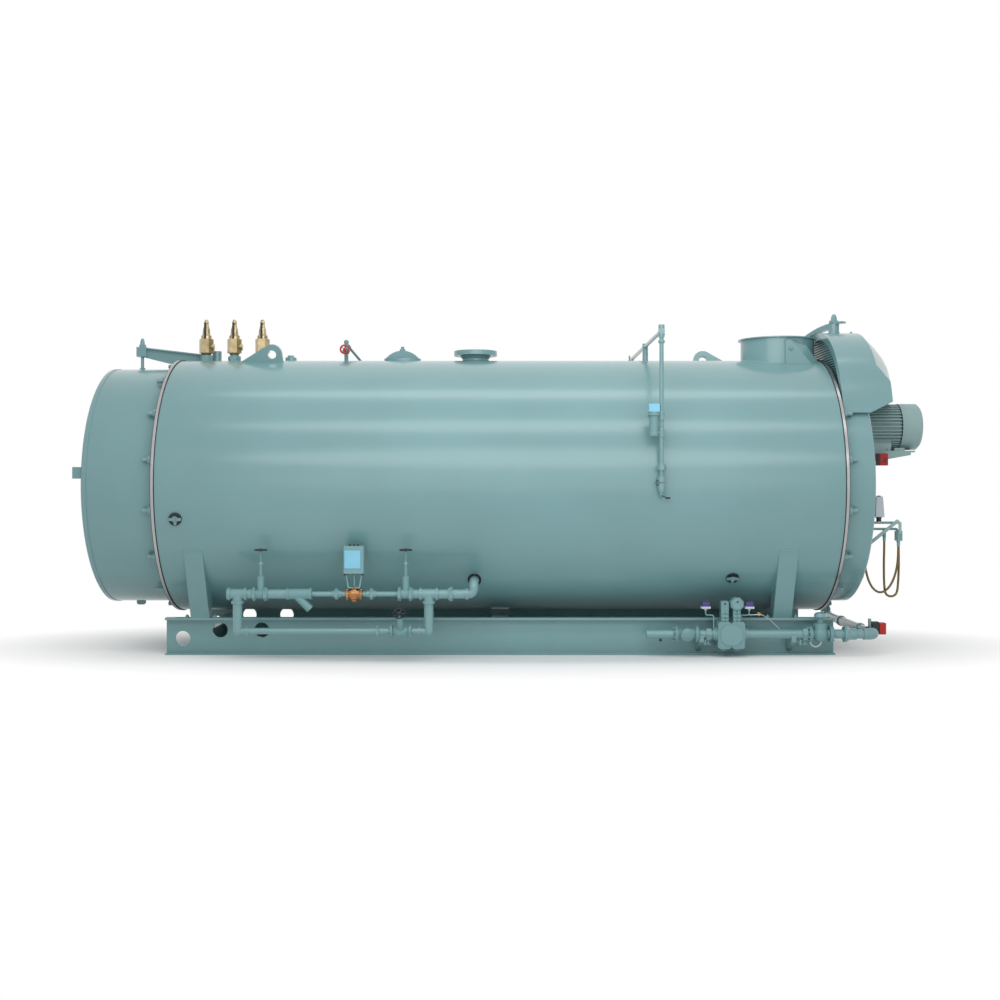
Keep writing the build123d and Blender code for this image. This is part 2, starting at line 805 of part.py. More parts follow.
def make_motor():
    plane = forward(0, 0, axis_height + motor_axis)
    bevel = motor_radius / 10
    housing = turned(
        plane,
        [
            (0, front_face),
            (0.96 * motor_radius, front_face),
            (0.96 * motor_radius, front_face + bevel),
            (motor_root_radius, front_face + 2 * bevel),
            (motor_root_radius, motor_fins_end),
            (motor_root_radius - motor_groove, motor_fins_end),
            (motor_root_radius - motor_groove, motor_fins_end + motor_groove),
            (motor_radius, motor_fins_end + motor_groove),
            (motor_radius, motor_end - bevel),
            (motor_radius - bevel, motor_end),
            (0, motor_end),
        ],
    )
    finned = []
    step = 2 * math.pi / motor_fin_count
    fin_top = motor_radius - motor_groove / 2
    root = motor_root_radius
    fin = [(0, root), (0, fin_top), (motor_fin_share, fin_top), (motor_fin_share, root)]
    for i in range(motor_fin_count):
        for part_turn, radius in fin:
            angle = (i + part_turn) * step
            finned.append((radius * math.cos(angle), radius * math.sin(angle)))
    fins = plane.offset(motor_fins_start) * make_face(Polyline(*finned, close=True))
    fins = extrude(fins, motor_fins_end - motor_fins_start)
    foot_start, foot_end = motor_foot
    foot = block(
        (foot_start, -motor_foot_half_width, axis_height + shelf_top),
        (foot_end, motor_foot_half_width, axis_height + motor_axis - motor_root_radius / 2),
    )
    save("fan_motor", fused(housing, fins, foot))

    shelf = [
        (front_face, shelf_top - shelf_plate),
        (front_face, shelf_top),
        (shelf_reach, shelf_top),
        (shelf_reach, shelf_top - shelf_plate),
    ]
    gusset = [
        (front_face, shelf_top - shelf_plate),
        (shelf_reach - shelf_tip, shelf_top - shelf_plate),
        (shelf_reach - shelf_tip, shelf_top - shelf_tip),
        (front_face, shelf_top - shelf_heel),
    ]
    middle = shelf_half_width - shelf_plate / 2
    plates = [slab(sideways(0, y, 0), from_axis(gusset), shelf_plate) for y in (-middle, middle)]
    table = slab(sideways(0, 0, 0), from_axis(shelf), 2 * shelf_half_width)
    save("motor_bracket", fused(table, *plates))
    length, width, height = switch_box
    box_top = axis_height + switch_box_top
    box = block(
        (switch_box_x - length / 2, -shelf_half_width - width, box_top - height),
        (switch_box_x + length / 2, -shelf_half_width, box_top),
    )
    save("switch_box", fillet(box.edges().filter_by(Axis.Z), width / 8))


def cap_nut(x, y, z, radius):
    """Hexagon nut with a domed cap."""
    cap = turned(
        upright(x, y, z),
        [
            (0, 0),
            (radius, 0),
            (0.8 * radius, 0.35 * davit_nut_height),
            (0.7 * radius, 0.7 * davit_nut_height),
            (0.4 * radius, davit_nut_height),
            (0, davit_nut_height),
        ],
    )
    return fused(cap, hexed(upright(x, y, z), 2.1 * radius, 0.3 * davit_nut_height))


def make_rear_davit():
    block_half = rear_davit_depth / 2
    low_end = rear_davit_top - rear_davit_drop
    clear_z = jacket_radius + trim_rise + davit_web / 3
    web = [
        (rear_davit_tip, rear_davit_top),
        (rear_davit_tip, rear_davit_top - rear_davit_depth),
        rear_davit_belly,
        (-half_jacket - rear_davit_clear, clear_z),
        (rear_davit_pivot, clear_z),
        (rear_davit_pivot, low_end),
    ]
    top = [
        (rear_davit_tip, rear_davit_top),
        (rear_davit_pivot, low_end),
        (rear_davit_pivot, low_end - davit_flange_thickness),
        (rear_davit_tip, rear_davit_top - davit_flange_thickness),
    ]
    view = sideways(0, rear_davit_y, 0)
    end_low = axis_height + rear_davit_top - rear_davit_depth
    end_block = block(
        (rear_davit_tip - block_half, rear_davit_y - block_half, end_low),
        (rear_davit_tip + block_half, rear_davit_y + block_half, axis_height + rear_davit_top),
    )
    head_solid = around_shell(head_radius, margin=rear_head_depth)
    tip_x, pivot_x, y = rear_davit_tip, rear_davit_pivot, rear_davit_y
    hanger = rod((tip_x, y, axis_height), (tip_x, y, end_low), davit_rod_radius)
    post_top = axis_height + low_end + block_half
    post = rod((pivot_x, y, axis_height), (pivot_x, y, post_top), davit_post_radius)
    arm = fused(slab(view, from_axis(web), davit_web), slab(view, from_axis(top), davit_flange), end_block)
    nut = cap_nut(tip_x, y, axis_height + rear_davit_top, 0.62 * block_half)
    save("rear_davit", fused(arm, hanger - head_solid, post - jacket_solid, nut))


def make_front_davit():
    post_x, post_y = front_davit_post
    run = Vector(front_davit_spool_x - post_x, -post_y, 0)
    view = Plane(origin=(post_x, post_y, axis_height), x_dir=run, z_dir=run.cross(Vector(0, 0, 1)))
    knee_u, knee_z = front_davit_knee
    tip_u, tip_z = front_davit_tip
    upper = ThreePointArc((0, front_davit_foot), (knee_u, knee_z), (tip_u, tip_z))
    bar, depth = front_davit_bar, front_davit_depth
    lower = ThreePointArc(
        (run.length, tip_z - depth),
        (knee_u - 0.7 * depth, knee_z - 0.9 * depth),
        (0.85 * depth, front_davit_foot),
    )
    cap = Polyline((tip_u, tip_z), (tip_u, tip_z - bar), (run.length, tip_z - bar), lower @ 0)
    edges = [upper, cap, lower, Line(lower @ 1, upper @ 0)]
    arm = extrude(view * make_face(edges), front_davit_width / 2, both=True)
    foot_z = axis_height + front_davit_foot
    post = rod((post_x, post_y, axis_height), (post_x, post_y, foot_z), davit_post_radius)
    hood_top = axis_height + hood_axis + hood_radius
    spool_x = front_davit_spool_x
    spool_top = axis_height + tip_z - bar
    spool = fused(
        rod((spool_x, 0, hood_top - bar), (spool_x, 0, spool_top), front_spool_radius),
        rod((spool_x, 0, hood_top - bar), (spool_x, 0, hood_top + bar / 2), front_spool_flange),
    )
    hood_room = hood_cylinder(half_jacket, hood_front, hood_radius)
    nut = cap_nut(spool_x, 0, axis_height + tip_z - bar / 2, front_spool_radius * 0.75)
    save("front_davit", fused(arm - hood_room, post - jacket_solid, spool - hood_room, nut))


def make_water_column():
    top = axis_height + column_top
    foot = axis_height + column_foot
    bend = 2.2 * column_pipe_radius
    inside = 0.9 * jacket_radius
    route = [
        (column_x, inside, foot),
        (column_x, -column_y, foot),
        (column_x, -column_y, top),
        (column_x, column_y, top),
        (column_x, column_y, foot),
        (column_x, -inside, foot),
    ]
    pipes = piped(route, column_pipe_radius, bend) - jacket_solid
    sleeve = 1.45 * column_pipe_radius
    stub = rod((column_x, 0, axis_height), (column_x, 0, top + sleeve), sleeve) - jacket_solid
    corner = rod((column_x, column_y, top - 2 * sleeve), (column_x, column_y, top + 2 * sleeve), sleeve)
    tee = rod((column_x, column_y - sleeve, top), (column_x, column_y + 2 * sleeve, top), sleeve)
    union_z = axis_height + union_height
    union = hexed(upright(column_x, column_y, union_z), 2.6 * sleeve, 1.5 * sleeve)
    cocks = [
        rod((column_x, column_y, z - sleeve), (column_x, column_y, z + sleeve), 1.2 * sleeve)
        for z in (union_z - 3 * sleeve, foot + 3 * sleeve)
    ]
    save("column_pipes", fused(pipes, stub, corner, tee, union, *cocks))

    length, width, height = column_box
    right = column_x - column_pipe_radius
    low = axis_height + column_box_height - height / 2
    box = block((right - length, column_y - width / 2, low), (right, column_y + width / 2, low + height))
    chamber_x = right - length / 2
    chamber_low = axis_height + chamber_top - chamber_height
    chamber = rod((chamber_x, column_y, chamber_low), (chamber_x, column_y, low), chamber_radius)
    arms = [
        rod((chamber_x, column_y, z), (column_x, column_y, z), column_pipe_radius / 2)
        for z in (chamber_low + chamber_radius, low - chamber_radius)
    ]
    drain_z = low - chamber_radius
    drain_end = chamber_x - 1.5 * chamber_radius
    drain = rod((chamber_x, column_y, drain_z), (drain_end, column_y, drain_z), column_pipe_radius / 2)
    column_pipe = rod((column_x, column_y, foot), (column_x, column_y, top), column_pipe_radius)
    save("level_box", box)
    save("level_chamber", fused(chamber, *arms, drain) - column_pipe)


def handhole(x, angle, side):
    """Round cover held by a crossbar, square to the shell's face."""
    turn = math.radians(angle)
    outward = Vector(0, side * math.sin(turn), math.cos(turn))
    seat = Vector(x, 0, axis_height) + outward * jacket_radius
    plane = Plane(origin=seat, x_dir=(1, 0, 0), z_dir=outward)
    inner = 0.72 * handhole_radius
    cover = turned(
        plane,
        [
            (0, -handhole_rise),
            (handhole_radius, -handhole_rise),
            (handhole_radius, handhole_rise),
            (inner, handhole_rise),
            (inner, handhole_rise / 2),
            (0, handhole_rise / 2),
        ],
    )
    bar = plane * Pos(0, 0, handhole_rise / 2) * Box(2 * inner, handhole_rise, 2 * handhole_rise)
    return fused(cover, bar) - jacket_solid


def make_handholes():
    places = list(zip(handhole_x, handhole_angles))
    covers = [handhole(x, angle, side) for x, angle in places for side in (-1, 1)]
    save("handhole_covers", *covers)


feed_z = axis_height + feed_height
bypass_z = feed_z - feed_bypass_drop


def feed_run(start, end, radius, z=feed_z):
    return rod((start, feed_y, z), (end, feed_y, z), radius)


def feed_band(x, radius, z=feed_z):
    return feed_run(x - band_width / 2, x + band_width / 2, radius + band_rise, z)


def feed_union(x, across, z=feed_z):
    """Hexagon union nut with a smaller collar at each side."""
    collar = 0.4 * across
    nut = hexed(forward(x - union_width / 6, feed_y, z), across, union_width / 3)
    return fused(nut, feed_run(x - union_width / 2, x + union_width / 2, collar, z))


def branch_tee(x):
    """Tee body with its three bands and the branch that runs down to the bypass."""
    body = feed_pipe_radius + band_rise / 2
    low = bypass_z
    side = rod((x, feed_y, feed_z), (x, feed_y, feed_z - tee_half), body)
    side_end = feed_z - tee_half
    band = rod((x, feed_y, side_end), (x, feed_y, side_end + band_width), body + band_rise)
    drop = rod((x, feed_y, feed_z), (x, feed_y, low), feed_pipe_radius)
    knee = Pos(x, feed_y, low) * Sphere(feed_pipe_radius)
    ends = [feed_band(x + s * (tee_half - band_width / 2), body) for s in (-1, 1)]
    return fused(feed_run(x - tee_half, x + tee_half, body), side, band, drop, knee, *ends)


def make_feed_pipes():
    gate_left, gate_right = gate_places
    elbow_band = feed_tee_left + 2 * feed_pipe_radius
    left = fused(
        branch_tee(feed_tee_left),
        feed_run(feed_left, gate_left - gate_half, feed_pipe_radius),
        feed_band(feed_left + band_width / 2, feed_pipe_radius),
        feed_run(feed_tee_left, bypass_valve_x - bypass_valve_half, feed_bypass_radius, bypass_z),
        feed_band(elbow_band, feed_bypass_radius, bypass_z),
        feed_union(bypass_union_x, union_across, bypass_z),
    )
    left -= feed_run(feed_left, feed_left + feed_bore_depth, feed_bore)
    nozzle_z = axis_height + feed_nozzle_height
    inlet = piped(
        [
            (gate_right + gate_half, feed_y, feed_z),
            (feed_right, feed_y, feed_z),
            (feed_right, feed_y, nozzle_z),
            (feed_right, 0, nozzle_z),
        ],
        feed_pipe_radius,
        feed_bend,
    )
    elbow = feed_band(feed_right - feed_bend - band_width / 2, feed_pipe_radius)
    right = fused(
        inlet - jacket_solid,
        branch_tee(feed_tee_right),
        elbow,
        feed_union(outlet_union_x, 1.3 * union_across),
        feed_run(bypass_valve_x + bypass_valve_half, feed_tee_right, feed_bypass_radius, bypass_z),
        feed_band(feed_tee_right - 2 * feed_pipe_radius, feed_bypass_radius, bypass_z),
    )
    strainer_start, strainer_end = strainer_ends
    middle = feed_run(gate_left + gate_half, strainer_start, feed_pipe_radius)
    before = fused(
        feed_run(strainer_end, control_x - control_half, feed_thin_radius),
        feed_union(left_union_x, union_across),
    )
    after = fused(
        feed_run(control_x + control_half, gate_right - gate_half, feed_thin_radius),
        feed_union(right_union_x, union_across),
    )
    save("feed_pipes", left, right, middle, before, after)


def gate_valve(x):
    """Gate valve with a tall rising stem."""
    body = feed_run(x - gate_half, x + gate_half, feed_pipe_radius)
    collars = [feed_band(x + s * (gate_half - band_width / 2), feed_pipe_radius) for s in (-1, 1)]
    stem_end = gate_stem_height - 2 * wheel_rim
    bonnet = turned(
        upright(x, feed_y, feed_z),
        [
            (0, 0),
            (gate_bonnet_radius, 0),
            (gate_bonnet_radius, gate_bonnet_top),
            (2 * stem_radius, gate_bonnet_top),
            (1.6 * stem_radius, gate_gland_height - gate_bonnet_radius / 2),
            (2.2 * stem_radius, gate_gland_height),
            (stem_radius, gate_gland_height + gate_bonnet_radius / 2),
            (stem_radius, stem_end),
            (0, stem_end),
        ],
    )
    return fused(body, *collars, bonnet)


def make_gate_valves():
    save("gate_valves", *[gate_valve(x) for x in gate_places])
    seat = feed_z + gate_stem_height - 2 * wheel_rim + wheel_seat
    for name, x in zip(("gate_wheel_rear", "gate_wheel_front"), gate_places):
        save(name, handwheel(upright(x, feed_y, seat), wheel_radius))


def make_strainer():
    start, end = strainer_ends
    body = feed_run(start, end, feed_pipe_radius + band_rise / 2)
    bands = [feed_band(x, feed_pipe_radius) for x in (start + band_width / 2, end - band_width / 2)]
    neck_x = start + (end - start) / 3
    tip = strainer_branch / math.sqrt(2)
    branch = rod((neck_x, feed_y, feed_z), (neck_x + tip, feed_y, feed_z - tip), strainer_branch_radius)
    save("strainer", fused(body, *bands, branch))


def make_control_valve():
    hex_starts = (control_x - control_half, control_x + control_half - band_width)
    hexes = [hexed(forward(x, feed_y, feed_z), 1.8 * control_radius, band_width) for x in hex_starts]
    globe = turned(
        forward(control_x, feed_y, feed_z),
        [
            (0, -control_half),
            (0.7 * control_radius, -control_half),
            (control_radius, -0.3 * control_half),
            (control_radius, 0.3 * control_half),
            (0.7 * control_radius, control_half),
            (0, control_half),
        ],
    )
    foot = feed_z + yoke_foot
    bonnet = rod((control_x, feed_y, feed_z), (control_x, feed_y, foot), 0.6 * control_radius)
    save("control_valve", fused(*hexes, globe, bonnet))

    length, width, height = actuator_size
    low = feed_z + actuator_low
    box = block(
        (control_x - length / 2, feed_y - width / 2, low),
        (control_x + length / 2, feed_y + width / 2, low + height),
    )
    leg = [
        (-0.42 * length, low),
        (-0.3 * length, foot),
        (0.3 * length, foot),
        (0.42 * length, low),
        (0.42 * length - yoke_bar, low),
        (0.3 * length - yoke_bar, foot + yoke_bar),
        (yoke_bar - 0.3 * length, foot + yoke_bar),
        (yoke_bar - 0.42 * length, low),
    ]
    yoke = slab(sideways(control_x, feed_y, 0), leg, 0.5 * width)
    spindle = rod((control_x, feed_y, foot), (control_x, feed_y, low), yoke_bar)
    save("feed_actuator", fused(fillet(box.edges().filter_by(Axis.Z), yoke_bar), yoke, spindle))


def make_bypass_valve():
    starts = (bypass_valve_x - bypass_valve_half, bypass_valve_x + bypass_valve_half - bypass_flange)
    ends = [feed_run(x, x + bypass_flange, bypass_flange_radius, bypass_z) for x in starts]
    body = turned(
        forward(bypass_valve_x, feed_y, bypass_z),
        [
            (0, -bypass_valve_half),
            (feed_bypass_radius, -bypass_valve_half),
            (0.8 * bypass_flange_radius, -0.3 * bypass_valve_half),
            (0.8 * bypass_flange_radius, 0.3 * bypass_valve_half),
            (feed_bypass_radius, bypass_valve_half),
            (0, bypass_valve_half),
        ],
    )
    tilt = math.radians(bypass_tilt)
    stem = Vector(0, -math.sin(tilt), math.cos(tilt))
    centre = Vector(bypass_valve_x, feed_y, bypass_z)
    plane = Plane(origin=centre, x_dir=(1, 0, 0), z_dir=stem)
    stem_end = bypass_stem_height - 2 * wheel_rim
    bonnet = turned(
        plane,
        [
            (0, 0),
            (gate_bonnet_radius, 0),
            (gate_bonnet_radius, 0.5 * bypass_stem_height),
            (0.6 * gate_bonnet_radius, 0.7 * bypass_stem_height),
            (stem_radius, 0.75 * bypass_stem_height),
            (stem_radius, stem_end),
            (0, stem_end),
        ],
    )
    save("bypass_valve", fused(body, *ends, bonnet))
    seat = Plane(origin=centre + stem * (stem_end + wheel_seat), x_dir=(1, 0, 0), z_dir=stem)
    save("bypass_wheel", handwheel(seat, wheel_radius))


def gas_run(start, end, radius):
    return rod((start, gas_y, gas_z), (end, gas_y, gas_z), radius)


def gas_union(x):
    """Hexagon union with a petcock hanging under it."""
    nut = hexed(forward(x - band_width, gas_y, gas_z), 2.5 * gas_pipe_radius, 2 * band_width)
    low = gas_z - 2.2 * gas_pipe_radius
    cock = rod((x, gas_y, gas_z), (x, gas_y, low), 1.6 * gas_tube_radius)
    tap = rod((x - band_width, gas_y, low), (x + band_width, gas_y, low), gas_tube_radius)
    return fused(nut, cock, tap)


def burner_solid():
    height = axis_height + burner_height
    return rod((front_face, 0, height), (front_face + burner_depth, 0, height), burner_radius)


def make_gas_pipes():
    plug_start, plug_end = gas_plug_ends
    block_start, block_end = gas_block_ends
    fly_start, fly_end = gas_butterfly_ends
    first_union, second_union = gas_unions
    inlet = gas_run(gas_inlet_x, plug_start, gas_pipe_radius)
    collar = gas_pipe_radius + band_rise
    joining = fused(
        gas_run(plug_end, block_start, gas_pipe_radius),
        gas_union(first_union),
        gas_run(block_start - gas_neck, block_start, collar),
    )
    middle = fused(
        gas_run(block_end, fly_start, gas_pipe_radius),
        gas_run(block_end, block_end + gas_neck, collar),
        gas_union(second_union),
    )
    burner_z = axis_height + burner_height
    route = [
        (fly_end, gas_y, gas_z),
        (gas_turn_x, gas_y, gas_z),
        (gas_turn_x, gas_far_y, gas_z),
        (gas_turn_x, gas_far_y, burner_z),
        (gas_turn_x, 0, burner_z),
    ]
    reducer = turned(
        forward(gas_reducer_x, gas_y, gas_z),
        [
            (0, -gas_reducer_half),
            (gas_flange_radius, -gas_reducer_half),
            (gas_flange_radius, band_width - gas_reducer_half),
            (collar, 0),
            (collar, gas_reducer_half),
            (0, gas_reducer_half),
        ],
    )
    bands = [
        rod((gas_turn_x, y, gas_z), (gas_turn_x, y + 2 * band_width, gas_z), collar)
        for y in (gas_y / 2, gas_far_y / 4, gas_far_y - 2 * gas_bend)
    ]
    corner = [
        (gas_turn_x - gas_elbow, gas_y, gas_z),
        (gas_turn_x, gas_y, gas_z),
        (gas_turn_x, gas_y + gas_elbow, gas_z),
    ]
    elbow = piped(corner, collar, gas_bend)
    crossing = fused(piped(route, gas_pipe_radius, gas_bend) - burner_solid(), elbow, reducer, *bands)
    save("gas_pipes", inlet, joining, middle, crossing)
    line = gas_run(gas_inlet_x, gas_turn_x, gas_pipe_radius)
    reach = -gas_y + gas_pipe_radius
    outline = [
        (-rail_inner_y - rail_web, gas_bracket_heel),
        (-rail_inner_y - rail_web, gas_z),
        (-reach, gas_z),
        (-reach, gas_z - 1.6 * gas_pipe_radius),
    ]
    save(
        "gas_brackets",
        *[slab(Plane.YZ.offset(x), outline, gas_bracket_width) - line for x in gas_bracket_places],
    )


def flanged(ends, body_radius):
    """Valve body between two round flanges."""
    start, end = ends
    return fused(
        gas_run(start, end, body_radius),
        gas_run(start, start + gas_flange, gas_flange_radius),
        gas_run(end - gas_flange, end, gas_flange_radius),
    )


def make_gas_valves():
    plug_start, plug_end = gas_plug_ends
    plug_x = (plug_start + plug_end) / 2
    cover = turned(
        sideways(plug_x, gas_y, gas_z),
        [
            (0, 0),
            (gas_cover_radius, 0),
            (gas_cover_radius, gas_flange_radius),
            (0.4 * gas_cover_radius, 1.2 * gas_flange_radius),
            (0, 1.2 * gas_flange_radius),
        ],
    )
    save("gas_plug_valve", fused(flanged(gas_plug_ends, 1.2 * gas_pipe_radius), cover))
    fly_start, fly_end = gas_butterfly_ends
    fly_x = (fly_start + fly_end) / 2
    bonnet_z = gas_flange_radius + band_width
    cap_z = 2.3 * gas_flange_radius
    stem = turned(
        upright(fly_x, gas_y, gas_z),
        [
            (0, 0),
            (gas_cover_radius, 0),
            (gas_cover_radius, bonnet_z),
            (0.45 * gas_cover_radius, bonnet_z + band_rise),
            (0.45 * gas_cover_radius, cap_z),
            (0.9 * gas_cover_radius, cap_z),
            (0.7 * gas_cover_radius, cap_z + band_width),
            (0, cap_z + band_width),
        ],
    )
    body = Pos(fly_x, gas_y, gas_z) * Sphere(gas_flange_radius)
    save("gas_butterfly_valve", fused(flanged(gas_butterfly_ends, gas_pipe_radius), body, stem))


def make_gas_block():
    start, end = gas_block_ends
    middle = (start + end) / 2
    low, high = gas_z - gas_block_low, gas_z + gas_block_high
    bevel = gas_block_bevel
    outline = [
        (start, low + bevel),
        (start, high - bevel),
        (start + bevel, high),
        (middle - gas_block_notch, high),
        (middle, high - gas_block_notch),
        (middle + gas_block_notch, high),
        (end - bevel, high),
        (end, high - bevel),
        (end, low + bevel),
        (end - bevel, low),
        (middle + gas_block_notch, low),
        (middle, low + gas_block_notch),
        (middle - gas_block_notch, low),
        (start + bevel, low),
    ]
    body = slab(sideways(0, gas_y, 0), outline, 2 * gas_block_half_width)
    quarter = (end - start) / 4
    caps = [
        rod((x, gas_y, low), (x, gas_y, low - gas_cap_depth), gas_cap_radius)
        for x in (middle - quarter, middle + quarter)
    ]
    save("gas_valve_block", fused(body, *caps))
    length, width, height = gas_actuator
    left_x = middle - gas_actuator_spread
    near_y, far_y = gas_y - width / 2, gas_y + width / 2
    box = block((left_x - length / 2, near_y, high), (left_x + length / 2, far_y, high + height))
    box = chamfer(box.faces().sort_by(Axis.Z)[-1].edges(), length / 8)
    right_x = middle + gas_actuator_spread
    head_z = gas_z + gas_head_height
    neck = block((right_x - length / 2, near_y, high), (right_x + length / 2, far_y, head_z))
    head_half = 0.8 * width
    drum = rod((right_x, gas_y - head_half, head_z), (right_x, gas_y + head_half, head_z), gas_head_radius)
    save("gas_actuators", box, fused(neck, drum))
    make_pressure_switches(high)


def make_pressure_switches(block_top):
    switches, tubes = [], []
    low = gas_z + gas_switch_low
    length, width, height = gas_switch
    tap_tops = (gas_z + gas_pipe_radius + band_rise, block_top)
    for x, tap_x, tap_z in zip(gas_switch_places, gas_tap_places, tap_tops):
        plate_z = low + gas_switch_plate / 2
        cover_z = low + (gas_switch_plate + height) / 2
        plate = Pos(x, gas_y, plate_z) * Box(length, width, gas_switch_plate)
        inset = 2 * gas_switch_inset
        cover = Pos(x, gas_y, cover_z) * Box(length - inset, width - inset, height - gas_switch_plate)
        switches.append(fused(plate, cover))
        knee = low - gas_tube_drop
        route = [(x, gas_y, low), (x, gas_y, knee), (tap_x, gas_y, knee), (tap_x, gas_y, tap_z)]
        tubes.append(piped(route, gas_tube_radius, 3 * gas_tube_radius))
    save("pressure_switches", *switches)
    save("impulse_tubes", *tubes)


def make_gas_motor():
    pipe_side = gas_turn_x + gas_pipe_radius
    coupling_end = pipe_side + 2 * gas_motor_shaft
    near_y, far_y = gas_motor_y - gas_motor_radius, gas_motor_y + gas_motor_radius
    sleeve = rod((gas_turn_x, near_y, gas_z), (gas_turn_x, far_y, gas_z), gas_pipe_radius + band_rise)
    pipe = rod((gas_turn_x, gas_y, gas_z), (gas_turn_x, 0, gas_z), gas_pipe_radius)
    shaft = rod((gas_turn_x, gas_motor_y, gas_z), (coupling_end, gas_motor_y, gas_z), gas_motor_shaft)
    lever_low = gas_z + gas_pipe_radius
    lever = block(
        (gas_turn_x - gas_motor_shaft / 2, gas_motor_y - gas_motor_shaft, lever_low),
        (gas_turn_x + gas_motor_shaft / 2, gas_motor_y + gas_motor_shaft, lever_low + gas_lever),
    )
    save("gas_control_valve", fused(sleeve, shaft, lever) - pipe)
    length, width, height = gas_motor_box
    middle = gas_z + gas_motor_lift
    box = block(
        (coupling_end, gas_motor_y - width / 2, middle - height / 2),
        (coupling_end + length, gas_motor_y + width / 2, middle + height / 2),
    )
    save("gas_motor", fillet(box.edges().filter_by(Axis.X), width / 8))


def hose_path(points, start, end):
    """Hose route in space; start and end give the x and y of its two ends."""
    steps = len(points) - 3
    route = []
    for i, (share, height) in enumerate(points):
        across = min(max(i - 1, 0), steps) / steps
        x = start[0] + share * (end[0] - start[0])
        y = start[1] + across * (end[1] - start[1])
        route.append((x, y, axis_height + height))
    return route


def hose_radii(route):
    """Largest bend at each corner that its two runs leave room for."""
    radii = []
    for before, corner, after in zip(route, route[1:], route[2:]):
        run_in = Vector(*corner) - Vector(*before)
        run_out = Vector(*after) - Vector(*corner)
        half_turn = math.radians(run_in.get_angle(run_out)) / 2
        radii.append(0.45 * min(run_in.length, run_out.length) / math.tan(half_turn))
    return radii


def hose(points, start, end):
    route = hose_path(points, start, end)
    radii = hose_radii(route)
    print("hose bend radii", [round(r) for r in radii])
    path = FilletPolyline(*route, radius=radii)
    tube = sweep(Plane(origin=path @ 0, z_dir=path % 0) * Circle(hose_radius), path=path)
    plain = math.pi * hose_radius**2 * path.length
    print("hose length", round(path.length), "volume over the plain tube's", round(tube.volume / plain, 4))
    return tube


def make_pilot_train():
    upper, lower = axis_height + pilot_upper, axis_height + pilot_lower
    block_top = axis_height + pilot_block_high
    bend = 2 * pilot_radius
    feed = piped(
        [(front_face, pilot_y, upper), (pilot_reach, pilot_y, upper), (pilot_reach, pilot_y, block_top)],
        pilot_radius, bend,
    )
    back = piped(
        [(front_face, pilot_y, lower), (pilot_return, pilot_y, lower), (pilot_return, pilot_y, block_top)],
        pilot_radius, pilot_radius * 1.2,
    )
    tee_foot = axis_height + pilot_tee_foot
    tee = rod((pilot_tee_x, pilot_y, lower), (pilot_tee_x, pilot_y, tee_foot), 1.4 * pilot_radius)
    half_length, half_width = pilot_block_half
    block_x = (pilot_reach + pilot_return) / 2
    manifold = block(
        (block_x - half_length, pilot_y - half_width, axis_height + pilot_block_low),
        (block_x + half_length, pilot_y + half_width, block_top),
    )
    socket_z = axis_height + hose_socket_height
    socket = piped(
        [
            (front_face, pilot_y, socket_z),
            (hose_socket_x, pilot_y, socket_z),
            (hose_socket_x, pilot_y, axis_height + hose_socket_end),
        ],
        1.3 * pilot_radius, 1.4 * pilot_radius,
    )
    save("pilot_pipes", fused(feed, back, tee, manifold), socket)

    tip_x, tip_z = pilot_strut_tip
    thick = 1.4 * pilot_strut_width
    strut_y = pilot_y - half_width - pilot_strut_thickness / 2
    low_tip = pilot_block_high - pilot_strut_width
    strut = slab(
        sideways(0, strut_y, 0),
        from_axis(
            [
                (front_face, pilot_strut_heel),
                (front_face, pilot_strut_heel + thick),
                (tip_x, tip_z),
                (pilot_reach, pilot_upper),
                (pilot_reach, low_tip),
                (pilot_return, low_tip),
                (pilot_return, pilot_upper - thick / 2),
                (tip_x, tip_z - thick),
            ]
        ),
        pilot_strut_thickness,
    )
    save("pilot_strut", strut)

    half_length, half_width = solenoid_half
    foot_z, crown_z = axis_height + solenoid_low, axis_height + solenoid_high
    foot = Pos(solenoid_x, pilot_y, foot_z) * Rectangle(2 * half_length, 2 * half_width)
    crown = Pos(solenoid_x, pilot_y, crown_z) * Rectangle(1.5 * half_length, 1.5 * half_width)
    neck = rod((solenoid_x, pilot_y, upper), (solenoid_x, pilot_y, foot_z), solenoid_neck)
    feed_pipe = rod((front_face, pilot_y, upper), (pilot_reach, pilot_y, upper), pilot_radius)
    save("pilot_solenoid", fused(loft([foot, crown]), neck - feed_pipe))
    tee_port = (pilot_tee_x, pilot_y)
    narrow_port = (narrow_port_x, pilot_y + hose_port_offset)
    wide_port = (wide_port_x, pilot_y - hose_port_offset)
    save("hose_narrow", hose(narrow_hose, tee_port, narrow_port))
    save("hose_wide", hose(wide_hose, wide_port, (hose_socket_x, pilot_y)))


os.makedirs("parts", exist_ok=True)
make_shell()
make_heads()
make_base()
make_safety_valves()
make_top_fittings()
make_vent_valve()
make_manway()
make_steam_nozzle()
make_flue()
make_hood()
make_motor()
make_rear_davit()
make_front_davit()
make_water_column()
make_handholes()
make_feed_pipes()
make_gate_valves()
make_strainer()
make_control_valve()
make_bypass_valve()
make_gas_pipes()
make_gas_valves()
make_gas_block()
make_gas_motor()
make_pilot_train()
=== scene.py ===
import bmesh
import bpy
import math
from mathutils import Matrix, Vector


